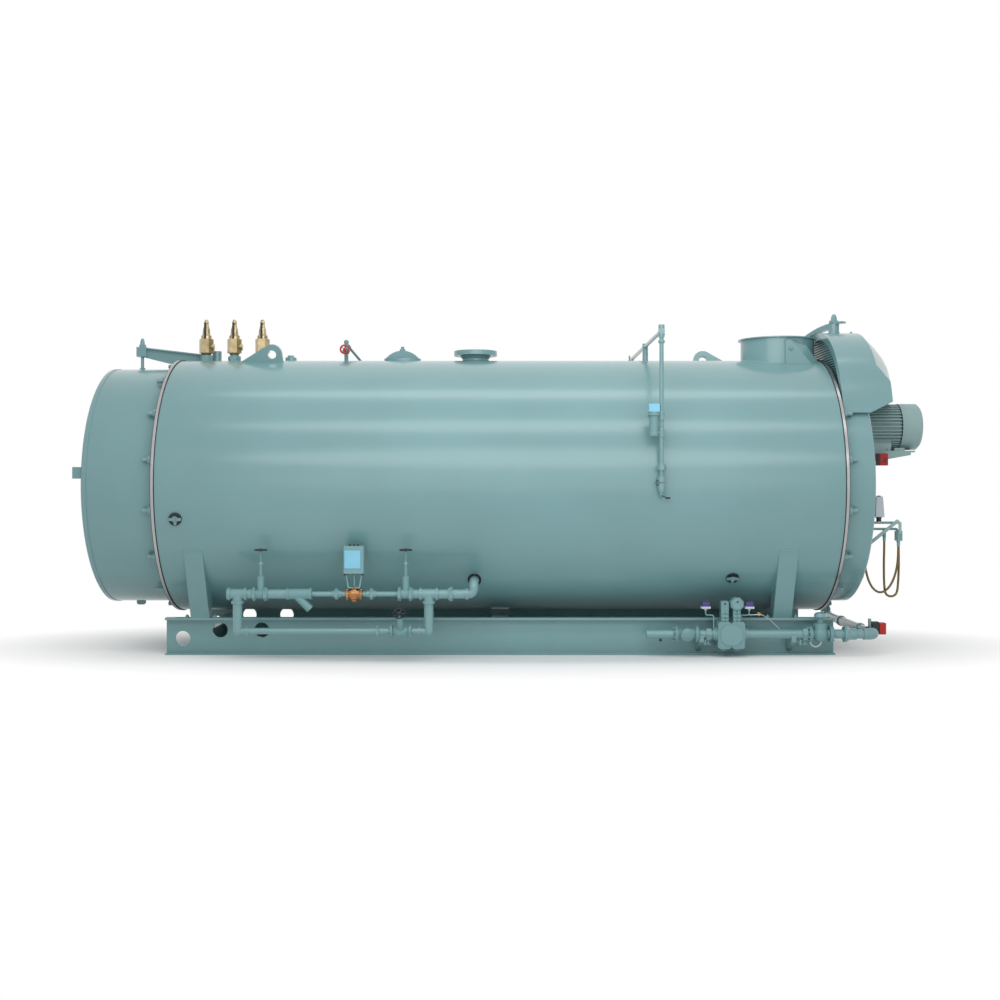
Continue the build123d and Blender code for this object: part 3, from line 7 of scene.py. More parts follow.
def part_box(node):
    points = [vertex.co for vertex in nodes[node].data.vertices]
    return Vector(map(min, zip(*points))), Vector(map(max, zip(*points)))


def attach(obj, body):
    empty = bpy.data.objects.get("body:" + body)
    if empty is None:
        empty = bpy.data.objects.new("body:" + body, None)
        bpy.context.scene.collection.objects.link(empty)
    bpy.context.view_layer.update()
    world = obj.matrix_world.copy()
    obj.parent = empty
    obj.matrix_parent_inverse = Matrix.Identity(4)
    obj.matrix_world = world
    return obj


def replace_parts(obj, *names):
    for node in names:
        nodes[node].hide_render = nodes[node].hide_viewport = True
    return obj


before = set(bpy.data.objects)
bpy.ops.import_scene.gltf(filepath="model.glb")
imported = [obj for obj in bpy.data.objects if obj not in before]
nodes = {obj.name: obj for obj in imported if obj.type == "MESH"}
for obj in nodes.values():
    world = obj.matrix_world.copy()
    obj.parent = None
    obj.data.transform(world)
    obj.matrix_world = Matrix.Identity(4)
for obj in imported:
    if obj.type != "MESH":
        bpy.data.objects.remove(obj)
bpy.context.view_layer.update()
print("frame loaded:", len(nodes), "nodes")

shell = {
    "axis": 1.65, "radius": 1.28, "half": 3.27, "headRadius": 1.19, "rearFace": -3.955, "frontFace": 3.546,
}


# Shaders

class Wire:  # one socket of a finish, so that sums on it read as Python
    def __init__(self, finish, socket):
        self.finish = finish
        self.socket = socket

    def sum(self, operation, first, second):
        return self.finish.node("Math", {"operation": operation}, {0: first, 1: second})

    def __add__(self, other):
        return self.sum("ADD", self, other)

    def __radd__(self, other):
        return self.sum("ADD", other, self)

    def __sub__(self, other):
        return self.sum("SUBTRACT", self, other)

    def __rsub__(self, other):
        return self.sum("SUBTRACT", other, self)

    def __mul__(self, other):
        return self.sum("MULTIPLY", self, other)

    def __rmul__(self, other):
        return self.sum("MULTIPLY", other, self)

    def __truediv__(self, other):
        return self.sum("DIVIDE", self, other)

    def __pow__(self, other):
        return self.sum("POWER", self, other)

    def most(self, other):
        return self.sum("MAXIMUM", self, other)


class Finish:  # one material and the nodes that make it
    def __init__(self, name, owner=None):
        self.material = owner or bpy.data.materials.new(name)
        self.material.use_nodes = True
        self.tree = self.material.node_tree
        self.tree.nodes.clear()

    def node(self, kind, settings=None, sockets=None, output=0):
        made = self.tree.nodes.new("ShaderNode" + kind)
        for key, value in (settings or {}).items():
            setattr(made, key, value)
        for key, value in (sockets or {}).items():
            if isinstance(value, Wire):
                self.tree.links.new(value.socket, made.inputs[key])
            else:
                made.inputs[key].default_value = value
        return Wire(self, made.outputs[output]) if made.outputs else None

    def place(self, stretch=None):
        where = self.node("TexCoord", output=3)
        if stretch:
            where = self.node("Mapping", {}, {"Vector": where, "Scale": stretch})
        return where

    def noise(self, scale, detail=2.0, stretch=None):
        sockets = {"Vector": self.place(stretch), "Scale": scale, "Detail": detail}
        return self.node("TexNoise", {}, sockets)

    def mixed(self, share, first, second):
        settings = {"data_type": "RGBA", "blend_type": "MIX", "clamp_factor": True}
        return self.node("Mix", settings, {0: share, 6: first, 7: second}, output=2)

    def spread(self, value, low, high, lowOut=0.0, highOut=1.0):
        sockets = {"Value": value, "From Min": low, "From Max": high, "To Min": lowOut, "To Max": highOut}
        return self.node("MapRange", {"clamp": True}, sockets)

    def bumped(self, height, strength, distance, soften=None):
        sockets = {"Height": height, "Strength": strength, "Distance": distance}
        if soften:
            sockets["Normal"] = self.node("Bevel", {"samples": 4}, {"Radius": soften})
        return self.node("Bump", {}, sockets)

    def surface(self, **sockets):
        shader = self.node("BsdfPrincipled", {}, {socketNames[k]: v for k, v in sockets.items()})
        self.node("OutputMaterial", {}, {"Surface": shader})
        return self.material


socketNames = {
    "colour": "Base Color", "roughness": "Roughness", "metallic": "Metallic", "normal": "Normal",
    "coat": "Coat Weight", "coatRoughness": "Coat Roughness", "specular": "Specular IOR Level",
}


def rgb(red, green, blue):  # 0 to 255 as seen on a screen, to the linear values that shaders use
    def linear(level):
        level /= 255
        return level / 12.92 if level <= 0.04045 else ((level + 0.055) / 1.055) ** 2.4
    return (linear(red), linear(green), linear(blue), 1.0)


def shaded(colour, share):
    return tuple(min(1.0, level * share) for level in colour[:3]) + (1.0,)


paint = {"coat": 0.75, "coatRoughness": 0.18, "specular": 0.34}
dustTone = rgb(176, 182, 178)


def paintFinish(name, colour, gloss=0.36, mottle=0.05, soften=0.004, dust=0.03):
    f = Finish(name)
    cloud = f.noise(0.9, 4.0)
    speck = f.noise(34.0, 3.0)
    peel = f.noise(330.0, 2.0)
    up = f.node("SeparateXYZ", {}, {0: f.node("NewGeometry", output=1)}, output=2)
    tone = f.mixed(f.spread(cloud, 0.32, 0.68), shaded(colour, 1 - mottle), shaded(colour, 1 + mottle))
    settled = f.spread(up, 0.55, 1.0) * f.spread(speck, 0.35, 0.75) * dust
    tone = f.mixed(settled, tone, dustTone)
    rough = gloss + 0.10 * (cloud - 0.5) + 0.06 * (speck - 0.5) + settled
    normal = f.bumped(peel + 0.35 * speck, 0.10, 0.0012, soften)
    return f.surface(colour=tone, roughness=rough, normal=normal, **paint)


def castFinish(name, colour, gloss=0.45, grain=0.22, soften=0.003):  # coarser skin than sheet
    f = Finish(name)
    skin = f.noise(150.0, 4.0)
    cloud = f.noise(2.4, 3.0)
    tone = f.mixed(f.spread(cloud, 0.3, 0.7), shaded(colour, 0.93), shaded(colour, 1.06))
    tone = f.mixed(f.spread(skin, 0.55, 0.8) * 0.22, tone, shaded(colour, 0.72))
    rough = gloss + 0.16 * (skin - 0.5)
    return f.surface(colour=tone, roughness=rough, normal=f.bumped(skin, grain, 0.002, soften))


def brushedFinish(name, colour, stretch, rough=0.26, soften=0.002):
    f = Finish(name)
    lines = f.noise(6.0, 5.0, stretch)
    cloud = f.noise(3.0, 2.0)
    tone = f.mixed(lines, shaded(colour, 0.82), shaded(colour, 1.08))
    gloss = rough + 0.16 * (lines - 0.5) + 0.1 * (cloud - 0.5)
    normal = f.bumped(lines, 0.05, 0.0006, soften)
    return f.surface(colour=tone, metallic=1.0, roughness=gloss, normal=normal)


def brassFinish(name, colour, rough=0.3, soften=0.0025):
    f = Finish(name)
    turned = f.noise(9.0, 4.0, (30.0, 30.0, 60.0))
    stain = f.noise(14.0, 5.0)
    tone = f.mixed(f.spread(stain, 0.4, 0.75), colour, shaded(colour, 0.62))
    gloss = rough + 0.22 * (stain - 0.5) + 0.08 * (turned - 0.5)
    normal = f.bumped(turned, 0.08, 0.0008, soften)
    return f.surface(colour=tone, metallic=1.0, roughness=gloss, normal=normal)


def mouldedFinish(name, colour, gloss=0.34, grain=0.08, soften=0.0025):  # plastic covers
    f = Finish(name)
    pebble = f.node("TexVoronoi", {"feature": "SMOOTH_F1"}, {"Vector": f.place(), "Scale": 420.0})
    cloud = f.noise(9.0, 3.0)
    tone = f.mixed(f.spread(cloud, 0.3, 0.7), shaded(colour, 0.94), shaded(colour, 1.05))
    rough = gloss + 0.14 * (cloud - 0.5)
    return f.surface(colour=tone, roughness=rough, normal=f.bumped(pebble, grain, 0.0006, soften))


def braidFinish():  # bronze wire sleeve over the burner hoses
    f = Finish("bronzeBraid")
    height = f.node("Attribute", {"attribute_name": "weave"}, output=2)
    dull = f.noise(60.0, 3.0)
    # low parts of the weave go near-black: painted shade between the strands
    tone = f.mixed(f.spread(height, 0.15, 0.8), rgb(30, 26, 18), rgb(132, 112, 74))
    tone = f.mixed(f.spread(dull, 0.45, 0.8) * 0.4, tone, rgb(86, 82, 60))
    rough = 0.52 - 0.2 * height + 0.1 * (dull - 0.5)
    return f.surface(colour=tone, metallic=f.spread(height, 0.0, 0.6, 0.5, 0.95), roughness=rough)


teal = rgb(114, 155, 158)
finishes = {
    "teal": paintFinish("tealEnamel", teal),
    "tealSmall": paintFinish("tealFittings", shaded(teal, 1.03), gloss=0.34, mottle=0.03, soften=0.0025),
    "tealCast": castFinish("tealCastings", shaded(teal, 0.98)),
    "stainless": brushedFinish("stainlessBand", (0.43, 0.43, 0.445, 1.0), (160.0, 2.0, 2.0)),
    "tealLouvre": paintFinish("tealLouvres", shaded(teal, 1.12), gloss=0.4, soften=None),
    # a paler copy of the teal paint; on the fan motor it is painted light, standing in for the lit band
    # across its middle
    "tealPaleAndLit": castFinish("paleTealAndPaintedLight", rgb(150, 178, 178), gloss=0.42, grain=0.1),
    # dark lining for the flue: painted shade of its depth
    "flueShade": mouldedFinish("paintedFlueShade", rgb(40, 40, 39), gloss=0.85),
    "brass": brassFinish("brassFittings", rgb(184, 168, 132)),
    "bronze": brassFinish("bronzeValve", rgb(178, 132, 90)),
    # black enamel for wheels, levers and the gas valve; on the handhole covers the black is painted shade
    "black": castFinish("blackEnamelAndShade", rgb(30, 31, 33), gloss=0.38, grain=0.12),
    "red": castFinish("redEnamel", rgb(178, 30, 16), gloss=0.45, grain=0.06),
    "blueCover": mouldedFinish("lightBlueCover", rgb(133, 200, 228)),
    "purpleCover": mouldedFinish("purpleCover", rgb(70, 62, 132)),
    "greyPaint": castFinish("greyEnamel", rgb(198, 206, 212), gloss=0.42, grain=0.08),
    "zinc": brushedFinish("zincPlate", (0.52, 0.58, 0.58, 1.0), (3.0, 60.0, 3.0), rough=0.38),
    "darkSteel": brushedFinish("darkSteel", (0.16, 0.17, 0.17, 1.0), (40.0, 40.0, 40.0), rough=0.45),
    # black rubber; on the ring where the feed line enters the jacket it is painted shade
    "rubberAndShade": mouldedFinish("blackRubberAndShade", rgb(24, 25, 26), gloss=0.6),
    "braid": braidFinish(),
}
print("finishes made:", len(finishes))

nodeFinish = {
    "stainless": ["trim_rings"],
    "brass": ["safety_valves"],
    "bronze": ["control_valve"],
    # on the handhole covers the black is painted shade: it stands for the dark gap around each cover
    "black": ["safety_levers", "gate_wheel_rear", "gate_wheel_front", "bypass_wheel", "gas_control_valve",
              "handhole_covers"],
    "red": ["vent_wheel", "switch_box", "gas_motor"],
    "blueCover": ["level_box"],
    "purpleCover": ["pressure_switches"],
    "greyPaint": ["pilot_solenoid"],
    # the fan motor wears the paler teal as painted light for its lit middle band
    "tealPaleAndLit": ["pilot_strut", "motor_bracket", "fan_motor"],
    "tealLouvre": ["intake_louvres"],
    "tealCast": ["bypass_valve", "gas_butterfly_valve", "gas_plug_valve", "gas_valve_block", "gate_valves",
                 "strainer", "manway_cover", "manway_yoke", "gas_actuators", "vent_valve", "level_chamber"],
    "tealSmall": ["column_pipes", "feed_pipes", "gas_pipes", "impulse_tubes", "pilot_pipes", "top_plug",
                  "safety_nozzles", "gas_brackets", "feed_actuator", "rear_davit", "front_davit"],
}
finishOf = {node: key for key, names in nodeFinish.items() for node in names}
for name, piece in nodes.items():
    piece.data.materials.clear()
    piece.data.materials.append(finishes[finishOf.get(name, "teal")])
print("finishes put on the packed pieces")


# Mesh helpers

def aimed(place, direction, across=(0, 0, 1)):  # matrix whose z axis is direction
    z = Vector(direction).normalized()
    x = Vector(across) - Vector(across).dot(z) * z
    if x.length < 1e-4:
        x = Vector((1, 0, 0)) - z.x * z
    x.normalize()
    y = z.cross(x)
    turn = Matrix((x, y, z)).transposed().to_4x4()
    return Matrix.Translation(Vector(place)) @ turn


def lathe(mesh, matrix, outline, steps=32):  # skin turned about z, from (radius, height) points
    rings = []
    for radius, height in outline:
        if radius < 1e-6:
            rings.append([mesh.verts.new(matrix @ Vector((0, 0, height)))])
            continue
        row = []
        for i in range(steps):
            turn = 2 * math.pi * i / steps
            point = Vector((radius * math.cos(turn), radius * math.sin(turn), height))
            row.append(mesh.verts.new(matrix @ point))
        rings.append(row)
    for low, high in zip(rings, rings[1:]):
        for i in range(steps):
            k = (i + 1) % steps
            if len(low) == 1 and len(high) == 1:
                continue
            if len(low) == 1:
                mesh.faces.new((low[0], high[k], high[i]))
            elif len(high) == 1:
                mesh.faces.new((low[i], low[k], high[0]))
            else:
                mesh.faces.new((low[i], low[k], high[k], high[i]))


def ring(mesh, matrix, outline, steps=32):  # closed section turned about z
    lathe(mesh, matrix, list(outline) + [outline[0]], steps)


def prism(mesh, matrix, outline, low, high, bevel=0.0):  # flat outline raised along z, its upper edge eased
    centre = Vector((sum(x for x, y in outline), sum(y for x, y in outline))) / len(outline)
    levels = [(low, 0.0), (high - bevel, 0.0)]
    if bevel:
        levels.append((high, bevel))
    rings = []
    for height, inset in levels:
        row = []
        for x, y in outline:
            away = Vector((x, y)) - centre
            point = centre + away * (1 - inset / max(away.length, 1e-6))
            row.append(mesh.verts.new(matrix @ Vector((point.x, point.y, height))))
        rings.append(row)
    count = len(outline)
    for lower, upper in zip(rings, rings[1:]):
        for i in range(count):
            k = (i + 1) % count
            mesh.faces.new((lower[i], lower[k], upper[k], upper[i]))
    mesh.faces.new(list(reversed(rings[0])))
    mesh.faces.new(rings[-1])


def hexagon(across):
    corner = across / math.sqrt(3)
    turns = [math.radians(60 * i) for i in range(6)]
    return [(corner * math.cos(t), corner * math.sin(t)) for t in turns]


def rounded(width, height, corner, steps=5):
    points = []
    for quarter, (sx, sy) in enumerate(((1, 1), (-1, 1), (-1, -1), (1, -1))):
        for i in range(steps + 1):
            turn = math.radians(90 * quarter + 90 * i / steps)
            points.append((sx * (width / 2 - corner) + corner * math.cos(turn),
                           sy * (height / 2 - corner) + corner * math.sin(turn)))
    return points


boltShares = {  # of the thread's width
    "washer": 1.15, "flat": 0.18, "head": 1.65, "top": 0.95, "bevel": 0.09, "foot": 0.9, "pitch": 0.16,
    "root": 0.47, "crest": 0.5, "tip": 0.44,
}


def bolt(mesh, matrix, thread, reach=0.0):  # washer, hexagon head or nut, and the thread that shows past it
    size = {key: share * thread for key, share in boltShares.items()}
    wide, flat, foot = size["washer"], size["flat"], size["foot"]
    lathe(mesh, matrix, [(0, 0), (wide, 0), (wide, flat), (0, flat)], 20)
    prism(mesh, matrix, hexagon(size["head"]), flat, size["top"], size["bevel"])
    if reach:
        outline = [(0, foot)]
        turns = max(3, int(reach / size["pitch"]))
        for i in range(turns):
            height = foot + reach * i / turns
            outline += [(size["root"], height), (size["crest"], height + 0.4 * reach / turns)]
        outline += [(size["tip"], foot + reach), (0, foot + 1.02 * reach)]
        lathe(mesh, matrix, outline, 16)


def sweptTube(mesh, points, radius, steps=12, closed=False, wave=None):  # round bar along points
    count = len(points)
    points = [Vector(p) for p in points]
    rings = []
    side = None
    for i, point in enumerate(points):
        before = points[(i - 1) % count] if closed or i else point
        after = points[(i + 1) % count] if closed or i < count - 1 else point
        ahead = (after - before).normalized()
        if side is None:
            side = ahead.orthogonal().normalized()
        side = (side - side.dot(ahead) * ahead).normalized()
        up = ahead.cross(side)
        reach = radius * (wave(i) if wave else 1.0)
        rings.append([mesh.verts.new(point + reach * (math.cos(t) * side + math.sin(t) * up))
                      for t in (2 * math.pi * k / steps for k in range(steps))])
    pairs = list(zip(rings, rings[1:]))
    if closed:
        pairs.append((rings[-1], rings[0]))
    for low, high in pairs:
        for i in range(steps):
            k = (i + 1) % steps
            mesh.faces.new((low[i], low[k], high[k], high[i]))
    if not closed:
        mesh.faces.new(list(reversed(rings[0])))
        mesh.faces.new(rings[-1])


def madePiece(name, fill, finish, body="boiler", smooth=35):
    mesh = bmesh.new()
    fill(mesh)
    bmesh.ops.recalc_face_normals(mesh, faces=mesh.faces)
    data = bpy.data.meshes.new(name)
    mesh.to_mesh(data)
    mesh.free()
    data.materials.append(finishes[finish])
    piece = bpy.data.objects.new(name, data)
    bpy.context.scene.collection.objects.link(piece)
    data.polygons.foreach_set("use_smooth", [True] * len(data.polygons))
    data.set_sharp_from_angle(angle=math.radians(smooth))
    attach(piece, body)
    return piece


# Braided hoses on the burner front

hoses = {
    "radius": 0.0104, "braidDepth": 0.0006, "around": 36, "step": 0.0024, "carriers": 10, "lay": 0.042,
    "narrow": [
        (0, -497), (0, -610), (-0.02, -740), (-0.013, -870), (0.013, -985), (0.073, -1066), (0.307, -1097.5),
        (0.627, -1097.5), (0.867, -1066), (0.94, -985), (0.987, -870), (1.01, -745), (1, -640), (1, -548),
    ],
    "narrowEnds": ((3785, -640), (3937, -606)),
    "wide": [
        (0, -548), (0, -660), (0.024, -790), (0.121, -920), (0.285, -1018), (0.509, -1064), (0.721, -1034),
        (0.873, -954), (0.958, -850), (1, -760), (1, -700),
    ],
    "wideEnds": ((3913, -674), (3590, -640)),
    "lengths": {"narrow": 1.22, "wide": 0.99},
}


def hoseRoute(points, ends):  # shares of the way from end to end, and heights from the shell's axis
    first, last = (Vector((x, y)) for x, y in ends)
    steps = len(points) - 3
    route = []
    for i, (share, height) in enumerate(points):
        x = first.x + share * (last.x - first.x)
        y = first.y + min(max(i - 1, 0), steps) / steps * (last.y - first.y)
        route.append(Vector((x, y, height)) / 1000 + Vector((0, 0, shell["axis"])))
    return route


def smoothLine(route):  # points read from the route's NURBS spline
    curve = bpy.data.curves.new("hoseLine", "CURVE")
    curve.dimensions = "3D"
    curve.resolution_u = 40
    spline = curve.splines.new("NURBS")
    spline.points.add(len(route) - 1)
    for target, point in zip(spline.points, route):
        target.co = (*point, 1.0)
    spline.order_u = 3
    spline.use_endpoint_u = True
    line = bpy.data.objects.new("hoseLine", curve)
    bpy.context.scene.collection.objects.link(line)
    bpy.context.view_layer.update()
    flat = bpy.data.meshes.new_from_object(line.evaluated_get(bpy.context.evaluated_depsgraph_get()))
    points = [v.co.copy() for v in flat.vertices]
    bpy.data.objects.remove(line)
    bpy.data.meshes.remove(flat)
    return points


def evenSteps(points, step):  # the same line at even steps
    lengths = [0.0]
    for a, b in zip(points, points[1:]):
        lengths.append(lengths[-1] + (b - a).length)
    total = lengths[-1]
    count = int(total / step)
    spots, k = [], 0
    for i in range(count + 1):
        want = total * i / count
        while k < len(points) - 2 and lengths[k + 1] < want:
            k += 1
        share = (want - lengths[k]) / max(lengths[k + 1] - lengths[k], 1e-9)
        spots.append(points[k].lerp(points[k + 1], min(share, 1.0)))
    return spots, total


def makeHose(name, node):
    route = hoseRoute(hoses[name], hoses[name + "Ends"])
    line = smoothLine(route)
    spots, total = evenSteps(line, hoses["step"])
    around, heights, verts, faces = hoses["around"], [], [], []
    side = None
    for i, spot in enumerate(spots):
        ahead = (spots[min(i + 1, len(spots) - 1)] - spots[max(i - 1, 0)]).normalized()
        side = ahead.orthogonal() if side is None else side - side.dot(ahead) * ahead
        side.normalize()
        up = ahead.cross(side)
        along = i * hoses["step"] / hoses["lay"] * hoses["carriers"]
        for k in range(around):
            turn = k / around
            left, right = hoses["carriers"] * turn + along, hoses["carriers"] * turn - along
            over = (math.floor(left) + math.floor(right)) % 2
            height = abs(math.sin(math.pi * (left if over else right)))
            heights.append(height)
            reach = hoses["radius"] + hoses["braidDepth"] * height
            angle = 2 * math.pi * turn
            verts.append(spot + reach * (math.cos(angle) * side + math.sin(angle) * up))
    for i in range(len(spots) - 1):
        for k in range(around):
            n = (k + 1) % around
            faces.append((i * around + k, i * around + n, (i + 1) * around + n, (i + 1) * around + k))
    faces.append(tuple(reversed(range(around))))
    faces.append(tuple(range((len(spots) - 1) * around, len(spots) * around)))
    data = bpy.data.meshes.new("hose" + name.title())
    data.from_pydata(verts, [], faces)
    weave = data.attributes.new("weave", "FLOAT", "POINT")
    weave.data.foreach_set("value", heights)
    data.polygons.foreach_set("use_smooth", [True] * len(data.polygons))
    data.materials.append(finishes["braid"])
    piece = bpy.data.objects.new("hose" + name.title(), data)
    bpy.context.scene.collection.objects.link(piece)
    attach(piece, "boiler")
    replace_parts(piece, node)
    print("hose", name, "length", round(total, 3))


makeHose("narrow", "hose_narrow")
makeHose("wide", "hose_wide")


# Studs that hold the two heads

studs = {"count": 16, "circle": 1.226, "thread": 0.044, "reach": 0.056, "hiddenFrom": 50, "hiddenTo": 130}


def headStuds(mesh):
    for end in (-1, 1):
        for i in range(studs["count"]):
            degrees = 360 * (i + 0.5) / studs["count"]
            if end > 0 and studs["hiddenFrom"] < degrees < studs["hiddenTo"]:
                continue  # behind the fan hood
            turn = math.radians(degrees)
            outward = Vector((0, -math.cos(turn), math.sin(turn)))
            place = Vector((end * shell["half"], 0, shell["axis"])) + studs["circle"] * outward
            bolt(mesh, aimed(place, (end, 0, 0), outward), studs["thread"], studs["reach"])


madePiece("headStuds", headStuds, "tealSmall")
print("head studs made")


# Weld beads where fittings meet the jacket

welds = {
    "bead": 0.0065, "steps": 8, "ripple": (0.12, 2.3), "leastCount": 24, "perMetre": 700, "lugSteps": 40,
    "rounds": [  # x, y, radius
        (-3.038, 0, 0.048), (-2.748, 0, 0.048), (-2.458, 0, 0.048), (-2.163, 0, 0.058), (-1.59, 0, 0.021),
        (-1.45, 0.26, 0.021), (-0.253, 0, 0.1365), (1.503, 0, 0.029), (2.867, 0, 0.372),
    ],
    "lugs": [(-2.684, -2.189, -14), (2.039, 2.534, 14)],  # ends along x, degrees from the top
    "lugHalf": 0.9, "saddles": [-2.913, 2.742], "saddleHalf": 0.09, "saddleTop": 119, "saddleFoot": 147,
    "saddleStep": 2,
}


def jacketPoint(x, degrees):  # degrees from the top, towards +Y
    turn = math.radians(degrees)
    return Vector((x, shell["radius"] * math.sin(turn), shell["axis"] + shell["radius"] * math.cos(turn)))


def jacketOver(x, y):
    return Vector((x, y, shell["axis"] + math.sqrt(shell["radius"] ** 2 - y * y)))


def weldRipple(i):
    size, pace = welds["ripple"]
    return 1.0 + size * math.sin(pace * i)


def weldBeads(mesh):
    def bead(points, closed=False):
        sweptTube(mesh, points, welds["bead"], welds["steps"], closed, weldRipple)

    for x, y, radius in welds["rounds"]:
        count = max(welds["leastCount"], int(radius * welds["perMetre"]))
        turns = [2 * math.pi * i / count for i in range(count)]
        bead([jacketOver(x + radius * math.cos(t), y + radius * math.sin(t)) for t in turns], closed=True)
    steps = welds["lugSteps"]
    for start, end, degrees in welds["lugs"]:
        for side in (-welds["lugHalf"], welds["lugHalf"]):
            bead([jacketPoint(start + (end - start) * i / steps, degrees + side) for i in range(steps + 1)])
    for x in welds["saddles"]:
        for side in (-1, 1):
            for edge in (-welds["saddleHalf"], welds["saddleHalf"]):
                angles = range(welds["saddleTop"], welds["saddleFoot"], welds["saddleStep"])
                bead([jacketPoint(x + edge, side * a) for a in angles])
            top = jacketPoint(0, side * welds["saddleTop"])
            bead([(x + welds["saddleHalf"] * k / 10, top.y, top.z) for k in range(-10, 11)])


madePiece("weldBeads", weldBeads, "tealSmall")


# Black gasket lines beside the stainless bands, and the rims of the heads

bands = {
    "edge": 3.27, "width": 0.026, "line": 0.007, "rise": 0.0045, "rimWidth": 0.038, "rimRise": 0.005,
    "rearGap": 0.014, "steps": 160,
}


def bandSection(start, end, radius, rise):
    return [(radius, start), (radius + rise, start), (radius + rise, end), (radius, end)]


def gasketLines(mesh):
    seat = aimed((0, 0, shell["axis"]), (1, 0, 0))
    lip = shell["radius"] - bands["line"]
    for end in (-1, 1):
        inner = end * (bands["edge"] - bands["width"])
        outer = end * bands["edge"]
        beside = bandSection(inner, inner - end * bands["line"], shell["radius"], bands["rise"])
        under = bandSection(outer, outer + end * bands["rise"], lip, 2 * bands["line"])
        ring(mesh, seat, beside, bands["steps"])
        ring(mesh, seat, under, bands["steps"])


def headRims(mesh):
    seat = aimed((0, 0, shell["axis"]), (1, 0, 0))
    rear = shell["rearFace"] + bands["rearGap"]
    for start in (rear, -bands["edge"] - bands["rimWidth"], bands["edge"]):
        end = start + bands["rimWidth"]
        ring(mesh, seat, bandSection(start, end, shell["headRadius"], bands["rimRise"]), bands["steps"])


madePiece("gasketLines", gasketLines, "rubberAndShade")
madePiece("headRims", headRims, "teal")


# Crossbars of the handholes

handholes = {
    "places": [(-3.047, 104.4), (2.239, 134.1)],  # x, degrees from the top
    "bar": (0.118, 0.027), "stem": (0.027, 0.056), "corner": 0.006, "bevel": 0.003, "rise": 0.0262,
    "stemDrop": 0.004, "disc": [(0, 0.021), (0.031, 0.021), (0.031, 0.017)], "nut": 0.015, "reach": 0.012,
}


def handholeBars(mesh):
    corner, bevel, rise = handholes["corner"], handholes["bevel"], handholes["rise"]
    for x, degrees in handholes["places"]:
        for side in (-1, 1):
            seat = jacketPoint(x, side * degrees)
            matrix = aimed(seat, seat - Vector((x, 0, shell["axis"])), (1, 0, 0))
            down = handholes["stem"][1] * (-0.5 if matrix[2][1] > 0 else 0.5)
            stem = [(px, py + down) for px, py in rounded(*handholes["stem"], corner)]
            prism(mesh, matrix, rounded(*handholes["bar"], corner), 0.0, rise, bevel)
            prism(mesh, matrix, stem, 0.0, rise - handholes["stemDrop"], bevel)
            lathe(mesh, matrix, handholes["disc"], 32)
            bolt(mesh, matrix @ Matrix.Translation((0, 0, rise)), handholes["nut"], handholes["reach"])


madePiece("handholeBars", handholeBars, "tealSmall")


# Bolts of flanges, feet and seams

boltRows = {
    "flanges": [  # place, way it faces, circle, count, thread
        ((-1.024, -1.28, 0.285), -1, 0.047, 4, 0.011), ((-0.832, -1.28, 0.285), 1, 0.047, 4, 0.011),
        ((1.677, -0.95, 0.218), -1, 0.0625, 8, 0.012), ((1.901, -0.95, 0.218), 1, 0.0625, 8, 0.012),
        ((2.964, -0.95, 0.218), -1, 0.0625, 8, 0.012), ((3.189, -0.95, 0.218), 1, 0.0625, 8, 0.012),
        ((3.686, 0.0, 1.32), 1, 0.29, 12, 0.018),
    ],
    "feet": [(x + s * 0.135, y * 0.772, 0.36) for x in (-2.913, 2.742) for s in (-1, 1) for y in (-1, 1)],
    "shelf": [(x, y, 2.0) for x in (3.73, 3.96) for y in (-0.174, 0.174)],
    "footThread": 0.02, "shelfThread": 0.012,
    "flangeReach": 0.4, "reach": 0.5,  # shares of the thread
    "single": [  # hood top, duct sides
        ((3.634, 0, 3.214), (0, 0, 1), 0.016), ((2.921, -0.39, 3.023), (0, -1, 0), 0.024),
        ((2.921, 0.39, 3.023), (0, 1, 0), 0.024),
    ],
}


def seamBolts(mesh):
    for place, way, circle, count, thread in boltRows["flanges"]:
        seat = aimed(place, (way, 0, 0))
        for i in range(count):
            turn = 2 * math.pi * (i + 0.5) / count
            spot = seat @ Vector((circle * math.cos(turn), circle * math.sin(turn), 0))
            bolt(mesh, aimed(spot, (way, 0, 0)), thread, boltRows["flangeReach"] * thread)
    upward = [(place, (0, 0, 1), boltRows["footThread"]) for place in boltRows["feet"]]
    upward += [(place, (0, 0, 1), boltRows["shelfThread"]) for place in boltRows["shelf"]]
    for place, way, thread in upward + boltRows["single"]:
        bolt(mesh, aimed(place, way, (1, 0, 0)), thread, boltRows["reach"] * thread)


madePiece("seamBolts", seamBolts, "tealSmall")
print("welds, bands and bolts made")


# Feed valve actuator: light cover, its screws, cable glands and the pointer on the stem

actuator = {
    "x": -1.362, "front": -1.355, "foot": 0.825, "top": 1.083,
    "cover": (-1.372, 0.957), "size": (0.150, 0.168), "thick": 0.008, "corner": 0.006, "bevel": 0.003,
    "screw": [(0, 0.0015), (0.0018, 0.0005), (0.003, 0.001), (0.003, 0)], "screwInset": 0.012,
    "plate": (0.178, 0.136, 0.01), "plateThick": 0.006, "plateBack": 0.074, "plateDrop": 0.004,
    "post": [(0, 0), (0.009, 0), (0.012, 0.016), (0, 0.016)], "postAside": 0.083, "postBack": 0.02,
    "postDrop": 0.016,
    "glands": (-1.40, -1.362, -1.324), "glandY": -1.31,
    "gland": [(0, 0), (0.011, 0), (0.011, 0.006), (0.008, 0.008), (0.007, 0.014), (0, 0.014)],
    "pointerAt": (-1.362, -1.313, 0.690),
    "pointer": [(0, 0), (0.012, 0), (0.012, 0.005), (0.007, 0.008), (0.004, 0.024), (0, 0.026)],
    "valve": (-1.362, -1.28, 0.631),
    "barrel": [
        (0, -0.072), (0.026, -0.072), (0.030, -0.066), (0.030, -0.052), (0.043, -0.046), (0.045, -0.036),
        (0.045, 0.034), (0.040, 0.044), (0.024, 0.050), (0, 0.050),
    ],
    "nut": 0.098, "nutAside": 0.050, "nutWidth": 0.026, "nutBevel": 0.004,
}


